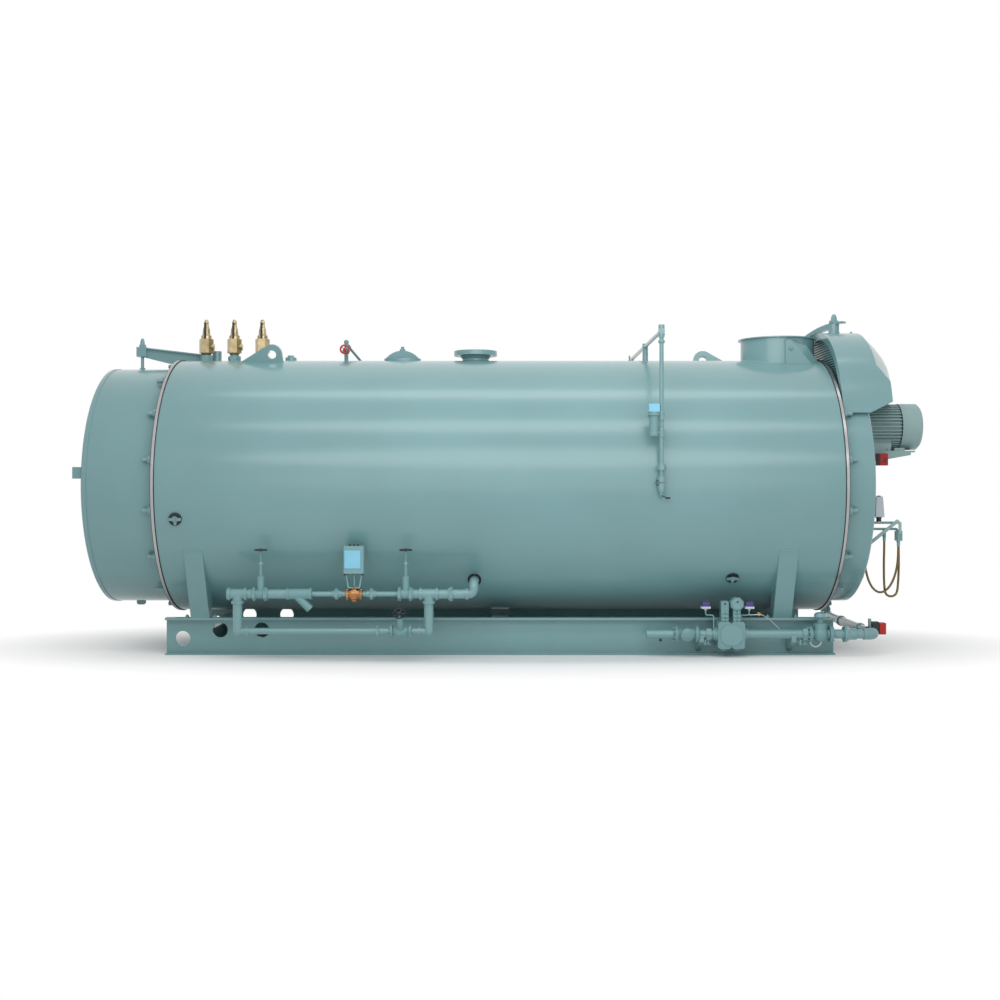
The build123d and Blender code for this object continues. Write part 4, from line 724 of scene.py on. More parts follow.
def actuatorCover(mesh):
    x, z = actuator["cover"]
    width, height = actuator["size"]
    seat = aimed((x, actuator["front"], z), (0, -1, 0), (1, 0, 0))
    prism(mesh, seat, rounded(width, height, actuator["corner"]), 0.0, actuator["thick"], actuator["bevel"])
    across, up = width / 2 - actuator["screwInset"], height / 2 - actuator["screwInset"]
    for sx in (-1, 1):
        for sz in (-1, 1):
            place = Vector((sx * across, sz * up, actuator["thick"]))
            lathe(mesh, seat @ Matrix.Translation(place), actuator["screw"], 16)


def actuatorTrim(mesh):
    x, front, foot = actuator["x"], actuator["front"], actuator["foot"]
    plate = (x, front + actuator["plateBack"], foot - actuator["plateDrop"])
    seat = aimed(plate, (0, 0, 1), (1, 0, 0))
    prism(mesh, seat, rounded(*actuator["plate"]), 0.0, actuator["plateThick"])
    for side in (-actuator["postAside"], actuator["postAside"]):
        post = aimed((x + side, front + actuator["postBack"], foot - actuator["postDrop"]), (0, 0, 1))
        lathe(mesh, post, actuator["post"], 16)
    for gland in actuator["glands"]:
        seat = aimed((gland, actuator["glandY"], actuator["top"]), (0, 0, 1))
        lathe(mesh, seat, actuator["gland"], 16)


def stemPointer(mesh):
    lathe(mesh, aimed(actuator["pointerAt"], (0, 0, 1)), actuator["pointer"], 20)
    lathe(mesh, aimed(actuator["valve"], (0, 0, 1)), actuator["barrel"], 40)
    for way in (-1, 1):
        place = Vector(actuator["valve"]) + Vector((way * actuator["nutAside"], 0, 0))
        nut = aimed(place, (way, 0, 0))
        prism(mesh, nut, hexagon(actuator["nut"]), 0.0, actuator["nutWidth"], actuator["nutBevel"])


madePiece("actuatorCover", actuatorCover, "blueCover")
madePiece("actuatorTrim", actuatorTrim, "rubberAndShade")
madePiece("stemPointer", stemPointer, "bronze")


# Hexagon ends of the unions and gate valves, collars on the stems and couplings under the safety valves

hexes = {
    "along": [  # x, z, width across flats
        (-1.530, 0.631, 0.092), (-1.201, 0.631, 0.092), (-0.457, 0.631, 0.118), (-2.299, 0.631, 0.112),
        (-2.195, 0.631, 0.112), (-0.941, 0.631, 0.112), (-0.838, 0.631, 0.112), (-1.145, 0.285, 0.096),
    ],
    "feedY": -1.28, "half": 0.015, "bevel": 0.004, "stems": (-2.237, -0.881), "collarAt": 0.913,
    "collar": [
        (0, -0.020), (0.013, -0.020), (0.019, -0.012), (0.021, 0.0), (0.019, 0.012), (0.013, 0.020),
        (0, 0.020),
    ],
    "safety": (-3.038, -2.748, -2.458), "coupling": 0.114, "couplingFoot": 2.928, "couplingTop": 2.984,
    "couplingBevel": 0.008,
}


def hexEnds(mesh):
    for x, z, across in hexes["along"]:
        for way in (-1, 1):
            seat = aimed((x, hexes["feedY"], z), (way, 0, 0))
            prism(mesh, seat, hexagon(across), 0.0, hexes["half"], hexes["bevel"])
    for x in hexes["stems"]:
        lathe(mesh, aimed((x, hexes["feedY"], hexes["collarAt"]), (0, 0, 1)), hexes["collar"], 24)
    coupling = hexagon(hexes["coupling"])
    for x in hexes["safety"]:
        seat = aimed((x, 0, 0), (0, 0, 1), (1, 0, 0))
        prism(mesh, seat, coupling, hexes["couplingFoot"], hexes["couplingTop"], hexes["couplingBevel"])


madePiece("hexEnds", hexEnds, "tealSmall")


# Dark ring where the feed line enters the jacket: painted shade of the gap in the jacket's cut-out

cutoutRing = {"x": -0.246, "z": 0.735, "radius": 0.056, "bar": 0.010, "proud": 0.002, "steps": 48}


def feedCutoutShade(mesh):
    points = []
    for i in range(cutoutRing["steps"]):
        turn = 2 * math.pi * i / cutoutRing["steps"]
        height = cutoutRing["z"] + cutoutRing["radius"] * math.sin(turn)
        reach = math.sqrt(shell["radius"] ** 2 - (height - shell["axis"]) ** 2) + cutoutRing["proud"]
        points.append((cutoutRing["x"] + cutoutRing["radius"] * math.cos(turn), -reach, height))
    sweptTube(mesh, points, cutoutRing["bar"], 10, True)


madePiece("feedCutoutShade", feedCutoutShade, "rubberAndShade")


# Gas train: necks, caps, petcocks, handle and the small bleed line

gas = {"y": -0.95, "z": 0.218, "fly": 3.0765, "stub": 1.542, "plug": 1.789, "crossY": -0.78}
gasBlack = {
    "neck": (3.652, 0.272), "neckSize": (0.082, 0.098, 0.012), "neckEnds": (-0.030, 0.032), "bevel": 0.004,
    "tapDrop": 0.044,
    "tap": [(0, -0.004), (0.010, -0.004), (0.010, 0.012), (0.016, 0.014), (0.016, 0.024), (0, 0.026)],
    "dots": [(2.1545, -0.0455, 0.512), (2.2685, -0.079, 0.532)],
    "dot": [(0, 0.003), (0.007, 0.003), (0.009, 0)],
}


def gasDark(mesh):
    x, z = gasBlack["neck"]
    neck = aimed((x, gas["crossY"], z), (1, 0, 0), (0, 1, 0))
    prism(mesh, neck, rounded(*gasBlack["neckSize"]), *gasBlack["neckEnds"], gasBlack["bevel"])
    tap = aimed((gas["stub"], gas["y"], gas["z"] - gasBlack["tapDrop"]), (0, 0, -1))
    lathe(mesh, tap, gasBlack["tap"], 20)
    for x, front, z in gasBlack["dots"]:
        lathe(mesh, aimed((x, gas["y"] + front, z), (0, -1, 0)), gasBlack["dot"], 20)


gasCasting = {
    "actuators": (2.1545, 2.2685), "tiers": (0.356, 0.394, 0.432), "front": -0.045,
    "lump": (0.034, 0.034, 0.012), "aside": 0.017, "lumpEnds": (-0.004, 0.010), "lumpBevel": 0.006,
    "dialAt": (2.2685, -0.072, 0.51), "dialRim": 0.068, "dialEnds": (-0.06, -0.012),
    "dial": [(0.053, -0.002), (0.050, 0.004), (0.040, 0.007), (0.037, 0.0045), (0, 0.0045)],
    "plate": (0.206, 0.196), "corner": 0.05, "plateEnds": (-0.004, 0.008), "blockFront": -0.080,
    "middle": (2.2115, 0.213), "bevel": 0.004,
    "sides": (2.083, 2.34),
    "side": [
        (0.040, -0.004), (0.068, -0.004), (0.068, 0.016), (0.062, 0.020), (0.054, 0.022), (0.054, 0.040),
        (0.044, 0.044),
    ],
    "cocks": (1.970, 2.885), "cockDrop": 0.05, "cockNut": 0.034, "cockWidth": 0.022, "cockBevel": 0.002,
    "cock": [(0, 0.02), (0.011, 0.02), (0.016, 0.030), (0.016, 0.050), (0.008, 0.058), (0, 0.060)],
    "lever": (0.052, 0.012, 0.005), "leverBack": 0.026, "leverDrop": 0.074, "leverHalf": 0.006,
    "oval": (0.056, 0.032), "ovalEnds": (0.02, 0.074), "ovalBevel": 0.006,
    "knob": [(0, 0.088), (0.010, 0.086), (0.014, 0.080), (0.014, 0.070)],
    "cap": [
        (0, 0.157), (0.030, 0.157), (0.057, 0.164), (0.058, 0.182), (0.050, 0.200), (0.028, 0.209),
        (0, 0.210),
    ],
    "armAt": (3.600, 0.2645), "arm": (0.023, 0.043, 0.005), "armHeight": 0.0845, "armBevel": 0.003,
}


def gasActuatorShapes(mesh):
    for x in gasCasting["actuators"]:
        for z in gasCasting["tiers"]:
            for side in (-gasCasting["aside"], gasCasting["aside"]):
                seat = aimed((x + side, gas["y"] + gasCasting["front"], z), (0, -1, 0), (1, 0, 0))
                lump = rounded(*gasCasting["lump"])
                prism(mesh, seat, lump, *gasCasting["lumpEnds"], gasCasting["lumpBevel"])
    x, front, z = gasCasting["dialAt"]
    dial = aimed((x, gas["y"] + front, z), (0, -1, 0))
    lathe(mesh, dial, gasCasting["dial"], 40)
    turns = [math.radians(22.5 + 45 * i) for i in range(8)]
    rim = [(gasCasting["dialRim"] * math.cos(t), gasCasting["dialRim"] * math.sin(t)) for t in turns]
    prism(mesh, dial, rim, *gasCasting["dialEnds"], gasCasting["bevel"])


def gasBlockShapes(mesh):
    x, z = gasCasting["middle"]
    across, up = (size / 2 for size in gasCasting["plate"])
    cut = gasCasting["corner"]
    octagon = [
        (across, up - cut), (across - cut, up), (cut - across, up), (-across, up - cut),
        (-across, cut - up), (cut - across, -up), (across - cut, -up), (across, cut - up),
    ]
    plate = aimed((x, gas["y"] + gasCasting["blockFront"], z), (0, -1, 0), (1, 0, 0))
    prism(mesh, plate, octagon, *gasCasting["plateEnds"], gasCasting["bevel"])
    for x, way in zip(gasCasting["sides"], (-1, 1)):
        lathe(mesh, aimed((x, gas["y"], gas["z"]), (way, 0, 0)), gasCasting["side"], 32)


def gasShapes(mesh):
    gasActuatorShapes(mesh)
    gasBlockShapes(mesh)
    bevel, half = gasCasting["cockBevel"], gasCasting["leverHalf"]
    for x in gasCasting["cocks"]:
        seat = aimed((x, gas["y"], gas["z"] - gasCasting["cockDrop"]), (0, 0, -1), (1, 0, 0))
        prism(mesh, seat, hexagon(gasCasting["cockNut"]), 0.0, gasCasting["cockWidth"], bevel)
        lathe(mesh, seat, gasCasting["cock"], 20)
        place = (x - gasCasting["leverBack"], gas["y"], gas["z"] - gasCasting["leverDrop"])
        prism(mesh, aimed(place, (0, -1, 0), (1, 0, 0)), rounded(*gasCasting["lever"]), -half, half, bevel)
    wide, high = gasCasting["oval"]
    oval = [(wide * math.cos(t), high * math.sin(t)) for t in (2 * math.pi * i / 40 for i in range(40))]
    slant = aimed((gas["plug"], gas["y"], gas["z"]), (0, -1, 0), (1, 0, 1))
    prism(mesh, slant, oval, *gasCasting["ovalEnds"], gasCasting["ovalBevel"])
    lathe(mesh, slant, gasCasting["knob"], 24)
    lathe(mesh, aimed((gas["fly"], gas["y"], gas["z"]), (0, 0, 1)), gasCasting["cap"], 32)
    x, z = gasCasting["armAt"]
    arm = aimed((x, gas["crossY"], z), (0, 0, 1), (1, 0, 0))
    prism(mesh, arm, rounded(*gasCasting["arm"]), 0.0, gasCasting["armHeight"], gasCasting["armBevel"])


gasSmall = {
    "switches": (1.975, 2.393), "switchZ": 0.4645, "plate": (0.093, 0.083, 0.008), "plateThick": 0.0195,
    "plateBevel": 0.003, "foot": [(0, -0.018), (0.014, -0.018), (0.016, -0.004), (0.022, 0.0)],
    "handle": (-0.05, -0.03, 0.152), "handleRadius": 0.052, "handleBar": 0.0065,
    "cockAt": (2.488, 0.404),
    "cock": [
        (0, -0.030), (0.009, -0.030), (0.011, -0.014), (0.017, -0.010), (0.017, 0.010), (0.011, 0.014),
        (0.009, 0.030), (0, 0.030),
    ],
    "grip": (0.034, 0.010, 0.004), "gripRise": 0.014, "gripThick": 0.006, "gripBevel": 0.001,
    "bleed": [(2.393, 0.402), (2.43, 0.403), (2.46, 0.404)], "bleedRadius": 0.006,  # x, z
    "drip": [(2.516, 0.402), (2.53, 0.396), (2.60, 0.35), (2.69, 0.262)], "dripRadius": 0.0035,
}


def switchPlates(mesh):
    for x in gasSmall["switches"]:
        seat = aimed((x, gas["y"], gasSmall["switchZ"]), (0, 0, 1), (1, 0, 0))
        prism(mesh, seat, rounded(*gasSmall["plate"]), 0.0, gasSmall["plateThick"], gasSmall["plateBevel"])
        lathe(mesh, seat, gasSmall["foot"], 20)


def gasHandle(mesh):
    across, front, z = gasSmall["handle"]
    radius = gasSmall["handleRadius"]
    points = []
    for i in range(25):
        turn = math.pi * i / 24
        x = gas["fly"] + across - radius * math.cos(turn)
        points.append((x, gas["y"] + front, z - radius * math.sin(turn)))
    sweptTube(mesh, points, gasSmall["handleBar"], 10)


def gasCocks(mesh):
    x, z = gasSmall["cockAt"]
    lathe(mesh, aimed((x, gas["y"], z), (1, 0, 0)), gasSmall["cock"], 20)
    grip = aimed((x, gas["y"], z + gasSmall["gripRise"]), (0, 0, 1), (1, 0, 0))
    prism(mesh, grip, rounded(*gasSmall["grip"]), 0, gasSmall["gripThick"], gasSmall["gripBevel"])


def bleedLine(mesh):
    sweptTube(mesh, [(x, gas["y"], z) for x, z in gasSmall["bleed"]], gasSmall["bleedRadius"], 10)
    sweptTube(mesh, [(x, gas["y"], z) for x, z in gasSmall["drip"]], gasSmall["dripRadius"], 8)


madePiece("gasDark", gasDark, "black")
madePiece("gasShapes", gasShapes, "tealSmall")
madePiece("switchPlates", switchPlates, "greyPaint")
madePiece("gasHandle", gasHandle, "greyPaint")
madePiece("gasCocks", gasCocks, "brass")
madePiece("bleedLine", bleedLine, "zinc")
print("feed and gas fittings made")


# Burner front: flange, sight port, switch box face and hose fittings

burner = {
    "face": 3.686, "z": 1.32, "glassSeat": 0.0462, "glass": [(0.055, 0), (0.050, 0.001), (0, 0.0018)],
    "plate": [
        (0.245, 0), (0.245, 0.004), (0.238, 0.010), (0.10, 0.014), (0.085, 0.022), (0.085, 0.050),
        (0.060, 0.054), (0.056, 0.046), (0, 0.046),
    ],
    "rim": [(0.325, 0), (0.375, 0), (0.375, 0.014), (0.370, 0.018), (0.325, 0.018)],
}


def burnerPlate(mesh):
    lathe(mesh, aimed((burner["face"], 0, burner["z"]), (1, 0, 0)), burner["plate"], 64)
    ring(mesh, aimed((shell["frontFace"], 0, burner["z"]), (1, 0, 0)), burner["rim"], 64)


def sightGlass(mesh):
    seat = aimed((burner["face"] + burner["glassSeat"], 0, burner["z"]), (1, 0, 0))
    lathe(mesh, seat, burner["glass"], 40)


switchBox = {
    "band": (0.36, 0.72, 0.98),  # place and width as shares of a third, height as a share of the box
    "bandCorner": 0.004, "bandEnds": (-0.004, 0.004), "bandBevel": 0.002,
    "bars": 5, "barFoot": 0.03, "barStep": 0.011, "bar": (0.044, 0.004, 0.0019),
    "barEnds": (-0.002, 0.0022), "barBevel": 0.0008,
}


def switchFace(mesh):
    low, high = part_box("switch_box")
    third, tall = (high[0] - low[0]) / 3, high[2] - low[2]
    place, wide, share = switchBox["band"]
    seat = aimed((low[0] + place * third, low[1], (low[2] + high[2]) / 2), (0, -1, 0), (1, 0, 0))
    band = rounded(wide * third, share * tall, switchBox["bandCorner"])
    prism(mesh, seat, band, *switchBox["bandEnds"], switchBox["bandBevel"])
    for i in range(switchBox["bars"]):
        height = low[2] + switchBox["barFoot"] + switchBox["barStep"] * i
        bar = aimed((low[0] + 2 * third, low[1], height), (0, -1, 0), (1, 0, 0))
        prism(mesh, bar, rounded(*switchBox["bar"]), *switchBox["barEnds"], switchBox["barBevel"])


pilot = {
    "solenoid": (3.731, -0.64),
    "neck": [
        (0, 1.291), (0.022, 1.291), (0.024, 1.298), (0.024, 1.322), (0.031, 1.326), (0.031, 1.334),
        (0, 1.334),
    ],
    "cap": [(0, 1.537), (0.020, 1.537), (0.020, 1.543), (0.012, 1.546), (0, 1.546)],
    "hoseEnds": [
        (3.785, -0.64, 1.153), (3.937, -0.606, 1.102), (3.913, -0.674, 1.102), (3.590, -0.64, 0.95),
    ],
    "nut": 0.032, "nutWidth": 0.018, "nutBevel": 0.0015,
    "ferrule": [(0.0132, 0.018), (0.0145, 0.020), (0.0145, 0.048), (0.0125, 0.054), (0.0112, 0.054)],
}


def solenoidNeck(mesh):
    seat = aimed((*pilot["solenoid"], 0), (0, 0, 1))
    lathe(mesh, seat, pilot["neck"], 28)
    lathe(mesh, seat, pilot["cap"], 24)


def hoseFittings(mesh):
    for place in pilot["hoseEnds"]:
        seat = aimed(place, (0, 0, -1))
        prism(mesh, seat, hexagon(pilot["nut"]), 0.0, pilot["nutWidth"], pilot["nutBevel"])
        lathe(mesh, seat, pilot["ferrule"], 24)


madePiece("burnerPlate", burnerPlate, "tealSmall")
madePiece("sightGlass", sightGlass, "rubberAndShade")
madePiece("switchFace", switchFace, "black")
madePiece("solenoidNeck", solenoidNeck, "black")
madePiece("hoseFittings", hoseFittings, "tealSmall")


# Bowed front of the fan hood: rounded towards its middle line, so that it ends on the cheeks' front edges

hoodFront = {
    "axis": 2.19, "rim": 1.01, "back": 3.652, "seat": 3.660, "foot": 2.512, "ease": 1.3, "crown": 0.0005,
    "rows": 40, "columns": 64,
    "middle": [  # z, x
        (3.20, 3.660), (3.125, 3.773), (3.053, 3.865), (2.946, 3.950), (2.85, 4.000), (2.757, 4.024),
        (2.685, 4.034), (2.512, 4.036),
    ],
}


def hoodFrontReach(z):  # x of the middle line at a height
    for (high, near), (low, far) in zip(hoodFront["middle"], hoodFront["middle"][1:]):
        if z >= low:
            return near + (far - near) * (high - z) / (high - low)
    return hoodFront["middle"][-1][1]


def hoodFrontRow(mesh, z):
    half = math.sqrt(max(hoodFront["rim"] ** 2 - (z - hoodFront["axis"]) ** 2, 1e-8))
    reach = hoodFrontReach(z) - hoodFront["seat"]
    points = [(hoodFront["back"], -half, z)]
    for k in range(hoodFront["columns"] + 1):
        across = -math.cos(math.pi * k / hoodFront["columns"])
        x = hoodFront["seat"] + reach * (1 - abs(across) ** hoodFront["ease"])
        points.append((x, half * across, z))
    points.append((hoodFront["back"], half, z))
    return [mesh.verts.new(point) for point in points]


def hoodFrontSkin(mesh):
    foot = hoodFront["foot"]
    tall = hoodFront["axis"] + hoodFront["rim"] - hoodFront["crown"] - foot
    shares = [math.sin(math.pi / 2 * i / hoodFront["rows"]) for i in range(hoodFront["rows"] + 1)]
    rows = [hoodFrontRow(mesh, foot + tall * share) for share in shares]
    for low, high in zip(rows, rows[1:]):
        for k in range(len(low) - 1):
            mesh.faces.new((low[k], low[k + 1], high[k + 1], high[k]))
        mesh.faces.new((low[-1], low[0], high[0], high[-1]))
    mesh.faces.new(rows[0])
    mesh.faces.new(list(reversed(rows[-1])))


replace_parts(madePiece("hoodFront", hoodFrontSkin, "teal", smooth=50), "hood_cover")


# Fan motor: pads, cowl grille, eye bolt and the toothed joint before the cowl

motor = {
    "axis": 2.25, "end": 4.31,
    "pads": [(4.08, -0.13, 2.0), (4.08, 0.13, 2.0)],
    "pad": (0.11, 0.1, 0.012), "padHeight": 0.03, "padBevel": 0.004,
    "rings": (0.05, 0.075, 0.10, 0.125, 0.15, 0.175), "ringWidth": 0.011, "ringEnds": (-0.002, 0.0002),
    "teeth": 60, "joint": 4.098, "toothFoot": 0.2, "toothHeight": 0.031,
    "tooth": [(-0.004, -0.006), (0.004, 0.0), (-0.004, 0.006)],
    "eyeAt": (3.86, 0, 2.482), "eyeRadius": 0.022, "eyeRise": 0.024, "eyeBar": 0.006,
    "eyeFoot": [(0.0, -0.01), (0.02, -0.01), (0.02, 0.0), (0.012, 0.006), (0, 0.006)],
}


def motorPads(mesh):
    for place in motor["pads"]:
        seat = aimed(place, (0, 0, 1), (1, 0, 0))
        prism(mesh, seat, rounded(*motor["pad"]), 0.0, motor["padHeight"], motor["padBevel"])


def cowlGrille(mesh):
    seat = aimed((motor["end"], 0, motor["axis"]), (1, 0, 0))
    low, high = motor["ringEnds"]
    for inner in motor["rings"]:
        outer = inner + motor["ringWidth"]
        ring(mesh, seat, [(inner, low), (outer, low), (outer, high), (inner, high)], 64)
    for i in range(motor["teeth"]):
        turn = 2 * math.pi * i / motor["teeth"]
        away = Vector((0, math.cos(turn), math.sin(turn)))
        place = Vector((motor["joint"], 0, motor["axis"])) + motor["toothFoot"] * away
        prism(mesh, aimed(place, away, (1, 0, 0)), motor["tooth"], 0.0, motor["toothHeight"])


def eyeBolt(mesh):
    seat = Vector(motor["eyeAt"])
    centre = seat + Vector((0, 0, motor["eyeRise"]))
    turns = [2 * math.pi * i / 32 for i in range(32)]
    points = [centre + motor["eyeRadius"] * Vector((math.cos(t), 0, math.sin(t))) for t in turns]
    sweptTube(mesh, points, motor["eyeBar"], 10, True)
    lathe(mesh, aimed(seat, (0, 0, 1)), motor["eyeFoot"], 24)


madePiece("motorPads", motorPads, "tealPaleAndLit")
madePiece("cowlGrille", cowlGrille, "rubberAndShade")
madePiece("eyeBolt", eyeBolt, "tealSmall")


# Flue throat, raised faces and the small lugs under the heads

outlets = {
    "flueX": 2.867, "throat": [(0.3605, 3.13), (0.3600, 2.955), (0.0, 2.945)],
    "steam": (-0.253, 0, 3.031),
    "face": [(0.128, -0.004), (0.162, -0.004), (0.162, 0.0), (0.160, 0.0018), (0.128, 0.0018)],
}


# dark lining and a floor that close the flue under its top: painted shade standing for the flue's depth
def flueThroat(mesh):
    lathe(mesh, aimed((outlets["flueX"], 0, 0), (0, 0, 1)), outlets["throat"], 96)


def raisedFaces(mesh):
    ring(mesh, aimed(outlets["steam"], (0, 0, 1)), outlets["face"], 96)


lugs = {
    "rear": (-3.71, 0.0, 0.46), "front": (3.40, 0.0, 0.46), "hanger": (-3.736, 0.13, 2.8329),
    "plate": [
        (-0.046, -0.012), (-0.046, 0.03), (-0.03, 0.046), (0.03, 0.046), (0.046, 0.03), (0.046, -0.012),
    ],
    "plateHalf": 0.012, "plateBevel": 0.002,
    "drain": [
        (0, -0.01), (0.024, -0.01), (0.024, 0.01), (0.013, 0.014), (0.013, 0.075), (0.020, 0.080),
        (0.022, 0.105), (0.014, 0.115), (0, 0.116),
    ],
    "washer": [(0, -0.012), (0.052, -0.012), (0.052, 0.010), (0.046, 0.014), (0.030, 0.016)],
    "nut": 0.052, "nutEnds": (0.014, 0.040), "nutBevel": 0.003,
}


def headLugs(mesh):
    plate = aimed(lugs["rear"], (0, 1, 0), (1, 0, 0))
    prism(mesh, plate, lugs["plate"], -lugs["plateHalf"], lugs["plateHalf"], lugs["plateBevel"])
    lathe(mesh, aimed(lugs["front"], (0, 0, -1), (1, 0, 0)), lugs["drain"], 24)
    hanger = aimed(lugs["hanger"], (0, 0, 1))
    lathe(mesh, hanger, lugs["washer"], 32)
    prism(mesh, hanger, hexagon(lugs["nut"]), *lugs["nutEnds"], lugs["nutBevel"])


madePiece("flueThroat", flueThroat, "flueShade")
madePiece("raisedFaces", raisedFaces, "darkSteel")
madePiece("headLugs", headLugs, "tealSmall")


# Broad rim and hub of the red vent wheel

ventRim = {
    "outer": 0.0495, "inner": 0.033, "hub": 0.016,
    "half": 0.008, "edge": 0.0048, "ease": 0.003, "proud": 0.001,
}


def ventRimFaces(mesh):
    low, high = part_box("vent_wheel")
    half, outer, inner = ventRim["half"], ventRim["outer"], ventRim["inner"]
    middle = (Vector(low) + Vector(high)) / 2
    middle.y = low[1] + half - ventRim["proud"]
    seat = aimed(middle, (0, -1, 0))
    eased = [(outer, ventRim["edge"]), (inner + ventRim["ease"], half)]
    ring(mesh, seat, [(inner, -half), (outer, -half), *eased, (inner, half)], 48)
    lathe(mesh, seat, [(ventRim["hub"], -half), (ventRim["hub"], half), (0, half)], 32)


madePiece("ventRim", ventRimFaces, "red", body="vent_handwheel")


# Water column: tees to the level chamber, collars, pull ring and drain grip

column = {
    "x": 1.503, "y": -1.337, "chamber": 1.433, "links": (2.292, 2.137), "link": 0.015, "top": 3.083,
    "tee": [
        (0.020, -0.042), (0.027, -0.042), (0.029, -0.038), (0.029, -0.024), (0.025, -0.020), (0.025, 0.020),
        (0.029, 0.024), (0.029, 0.038), (0.027, 0.042), (0.020, 0.042),
    ],
    "branch": [(0.012, 0), (0.021, 0), (0.021, 0.012), (0.012, 0.012)], "branchAside": 0.022,
    "collars": (3.052, 2.985, 1.835, 1.600),
    "collar": [
        (0.018, -0.014), (0.028, -0.014), (0.031, -0.008), (0.031, 0.008), (0.028, 0.014), (0.018, 0.014),
    ],
    "cap": [(0.028, -0.004), (0.026, 0.006), (0.018, 0.016), (0, 0.020)],
    "flangeAt": 2.312,
    "flange": [
        (0.036, -0.016), (0.058, -0.016), (0.060, -0.013), (0.060, 0.010), (0.046, 0.016), (0.036, 0.016),
    ],
    "footAt": 2.117,
    "foot": [(0.040, -0.02), (0.046, -0.016), (0.046, 0.0), (0.024, 0.016), (0.014, 0.020), (0, 0.020)],
    "pinAt": (1.346, 0.06),
    "pin": [(0.022, -0.004), (0.022, 0.014), (0.009, 0.018), (0.009, 0.062), (0.005, 0.066), (0, 0.066)],
    "ringAt": (1.466, 1.669), "ringFront": 0.02, "ringSize": (0.017, 0.023), "ringBar": 0.0035,
    "stem": [(1.503, 1.552), (1.530, 1.540), (1.545, 1.532)], "stemBar": 0.004,  # x, z
    "gripAt": (1.563, 1.529), "grip": (0.046, 0.018, 0.005), "gripHalf": 0.005, "gripBevel": 0.002,
}


def columnFittings(mesh):
    x, y, chamber = column["x"], column["y"], column["chamber"]
    for z in column["links"]:
        sweptTube(mesh, [(chamber, y, z), (x, y, z)], column["link"], 16)
        lathe(mesh, aimed((x, y, z), (0, 0, 1)), column["tee"], 24)
        ring(mesh, aimed((x - column["branchAside"], y, z), (-1, 0, 0)), column["branch"], 24)
    for z in column["collars"]:
        lathe(mesh, aimed((x, y, z), (0, 0, 1)), column["collar"], 24)
    lathe(mesh, aimed((x, y, column["top"]), (0, 0, 1)), column["cap"], 24)
    lathe(mesh, aimed((chamber, y, column["flangeAt"]), (0, 0, 1)), column["flange"], 32)
    lathe(mesh, aimed((chamber, y, column["footAt"]), (0, 0, -1)), column["foot"], 32)
    lathe(mesh, aimed(jacketOver(*column["pinAt"]), (0, 0, 1)), column["pin"], 20)


def columnPull(mesh):
    ringX, ringZ = column["ringAt"]
    wide, high = column["ringSize"]
    y = column["y"]
    turns = [2 * math.pi * i / 32 for i in range(32)]
    front = y - column["ringFront"]
    loop = [(ringX + wide * math.cos(t), front, ringZ + high * math.sin(t)) for t in turns]
    sweptTube(mesh, loop, column["ringBar"], 8, True)
    sweptTube(mesh, [(x, y, z) for x, z in column["stem"]], column["stemBar"], 8)
    x, z = column["gripAt"]
    half = column["gripHalf"]
    grip = aimed((x, y, z), (0, -1, 0), (1, 0, 0))
    prism(mesh, grip, rounded(*column["grip"]), -half, half, column["gripBevel"])


madePiece("columnFittings", columnFittings, "tealSmall")
madePiece("columnPull", columnPull, "black")
print("front, flue and column fittings made")


# Stage, light and camera

studio = {
    "ambient": 0.50, "length": 8.8, "middle": 0.5,
    "strips": [  # degrees above the horizon on the near side, distance, width, power
        (81, 6.0, 1.1, 76),
        (49, 6.5, 1.2, 92),
        (22, 7.5, 2.1, 130),
        (4, 9.0, 3.0, 50),
    ],
    "floorHalf": 60.0, "floorDrop": 0.002, "floorTone": 0.94,
    "floorReach": (6.0, 2.6), "floorFade": (0.5, 0.95),
    "sensor": 36.0, "lens": 46.08, "shiftY": -0.015, "cameraY": -13.248,
}


def seenPlainly(f):  # camera, mirror and see-through rays meet the white ground
    names = ("Is Camera Ray", "Is Glossy Ray", "Is Transmission Ray")
    camera, mirror, through = (f.node("LightPath", output=name) for name in names)
    return camera.most(mirror).most(through)


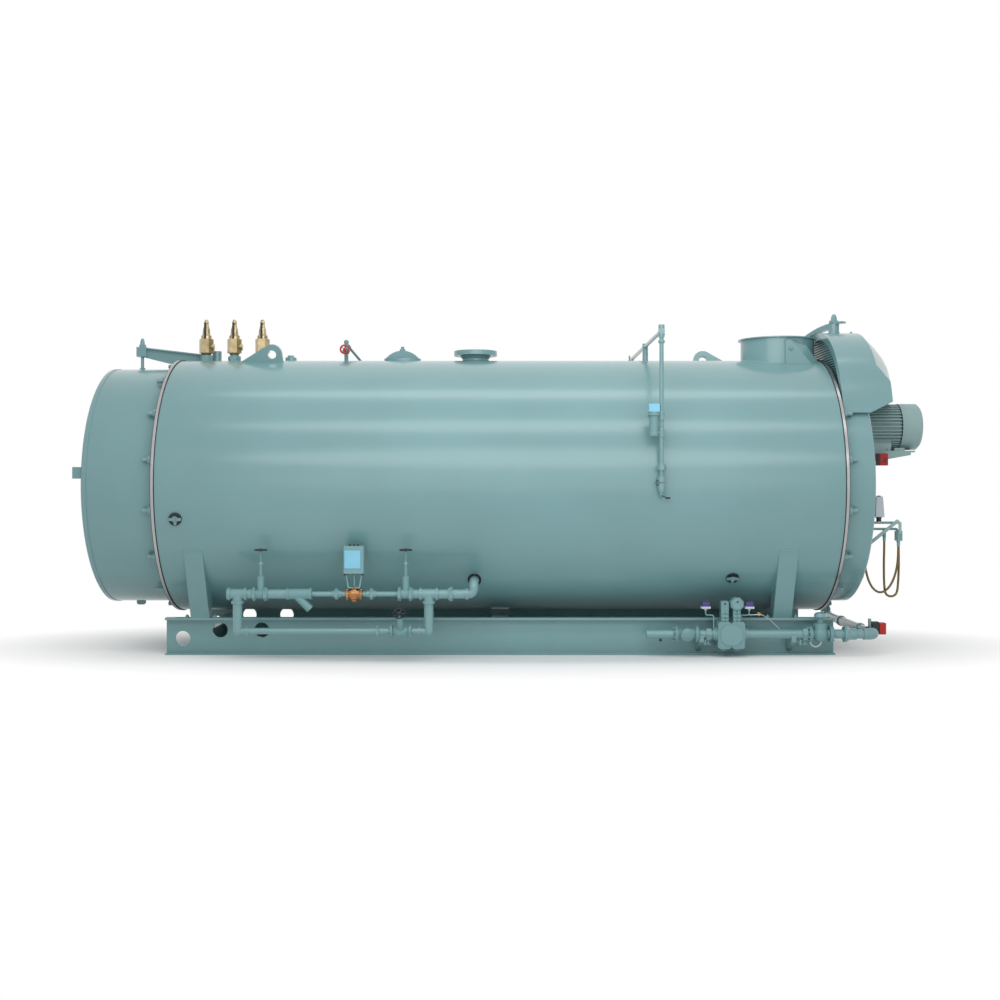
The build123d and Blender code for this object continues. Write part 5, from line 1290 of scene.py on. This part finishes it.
def backdropWorld():
    f = Finish("studio", bpy.data.worlds.new("studio"))
    bpy.context.scene.world = f.material
    plain = f.node("Background", {}, {"Color": (1, 1, 1, 1), "Strength": studio["ambient"]})
    white = f.node("Background", {}, {"Color": (1, 1, 1, 1), "Strength": 1.0})
    f.node("OutputWorld", {}, {"Surface": f.node("MixShader", {}, {0: seenPlainly(f), 1: plain, 2: white})})


def paleFloor():
    f = Finish("paleFloor")
    x, y = (f.node("SeparateXYZ", {}, {0: f.place()}, output=i) for i in (0, 1))
    along, across = studio["floorReach"]
    away = ((x / along) ** 2.0 + (y / across) ** 2.0) ** 0.5
    tone, half = studio["floorTone"], studio["floorHalf"]
    plain = f.node("BsdfDiffuse", {}, {"Color": (tone, tone, tone, 1)})
    white = f.node("Emission", {}, {"Color": (1, 1, 1, 1), "Strength": 1.0})
    share = f.spread(away, *studio["floorFade"]) * seenPlainly(f)
    f.node("OutputMaterial", {}, {"Surface": f.node("MixShader", {}, {0: share, 1: plain, 2: white})})
    data = bpy.data.meshes.new("floor")
    corners = [(-half, -half, 0), (half, -half, 0), (half, half, 0), (-half, half, 0)]
    data.from_pydata(corners, [], [(0, 1, 2, 3)])
    data.materials.append(f.material)
    floor = bpy.data.objects.new("floor", data)
    floor.location.z = -studio["floorDrop"]
    bpy.context.scene.collection.objects.link(floor)


def stripLights():
    middle = Vector((studio["middle"], 0, shell["axis"]))
    for i, (lift, distance, width, power) in enumerate(studio["strips"]):
        turn = math.radians(lift)
        outward = Vector((0, -math.cos(turn), math.sin(turn)))
        data = bpy.data.lights.new(f"strip{i}", "AREA")
        data.shape = "ELLIPSE"
        data.size, data.size_y = studio["length"], width
        data.energy = power
        lamp = bpy.data.objects.new(f"strip{i}", data)
        lamp.matrix_world = aimed(middle + distance * outward, outward, (1, 0, 0))
        bpy.context.scene.collection.objects.link(lamp)


def photoCamera():
    data = bpy.data.cameras.new("camera")
    data.sensor_width = studio["sensor"]
    data.lens = studio["lens"]
    data.shift_y = studio["shiftY"]
    camera = bpy.data.objects.new("camera", data)
    camera.location = (0.0, studio["cameraY"], shell["axis"])
    camera.rotation_euler = (math.pi / 2, 0, 0)
    bpy.context.scene.collection.objects.link(camera)
    bpy.context.scene.camera = camera


backdropWorld()
paleFloor()
stripLights()
photoCamera()
bpy.context.scene.view_settings.view_transform = "Standard"
print("stage, light and camera set")
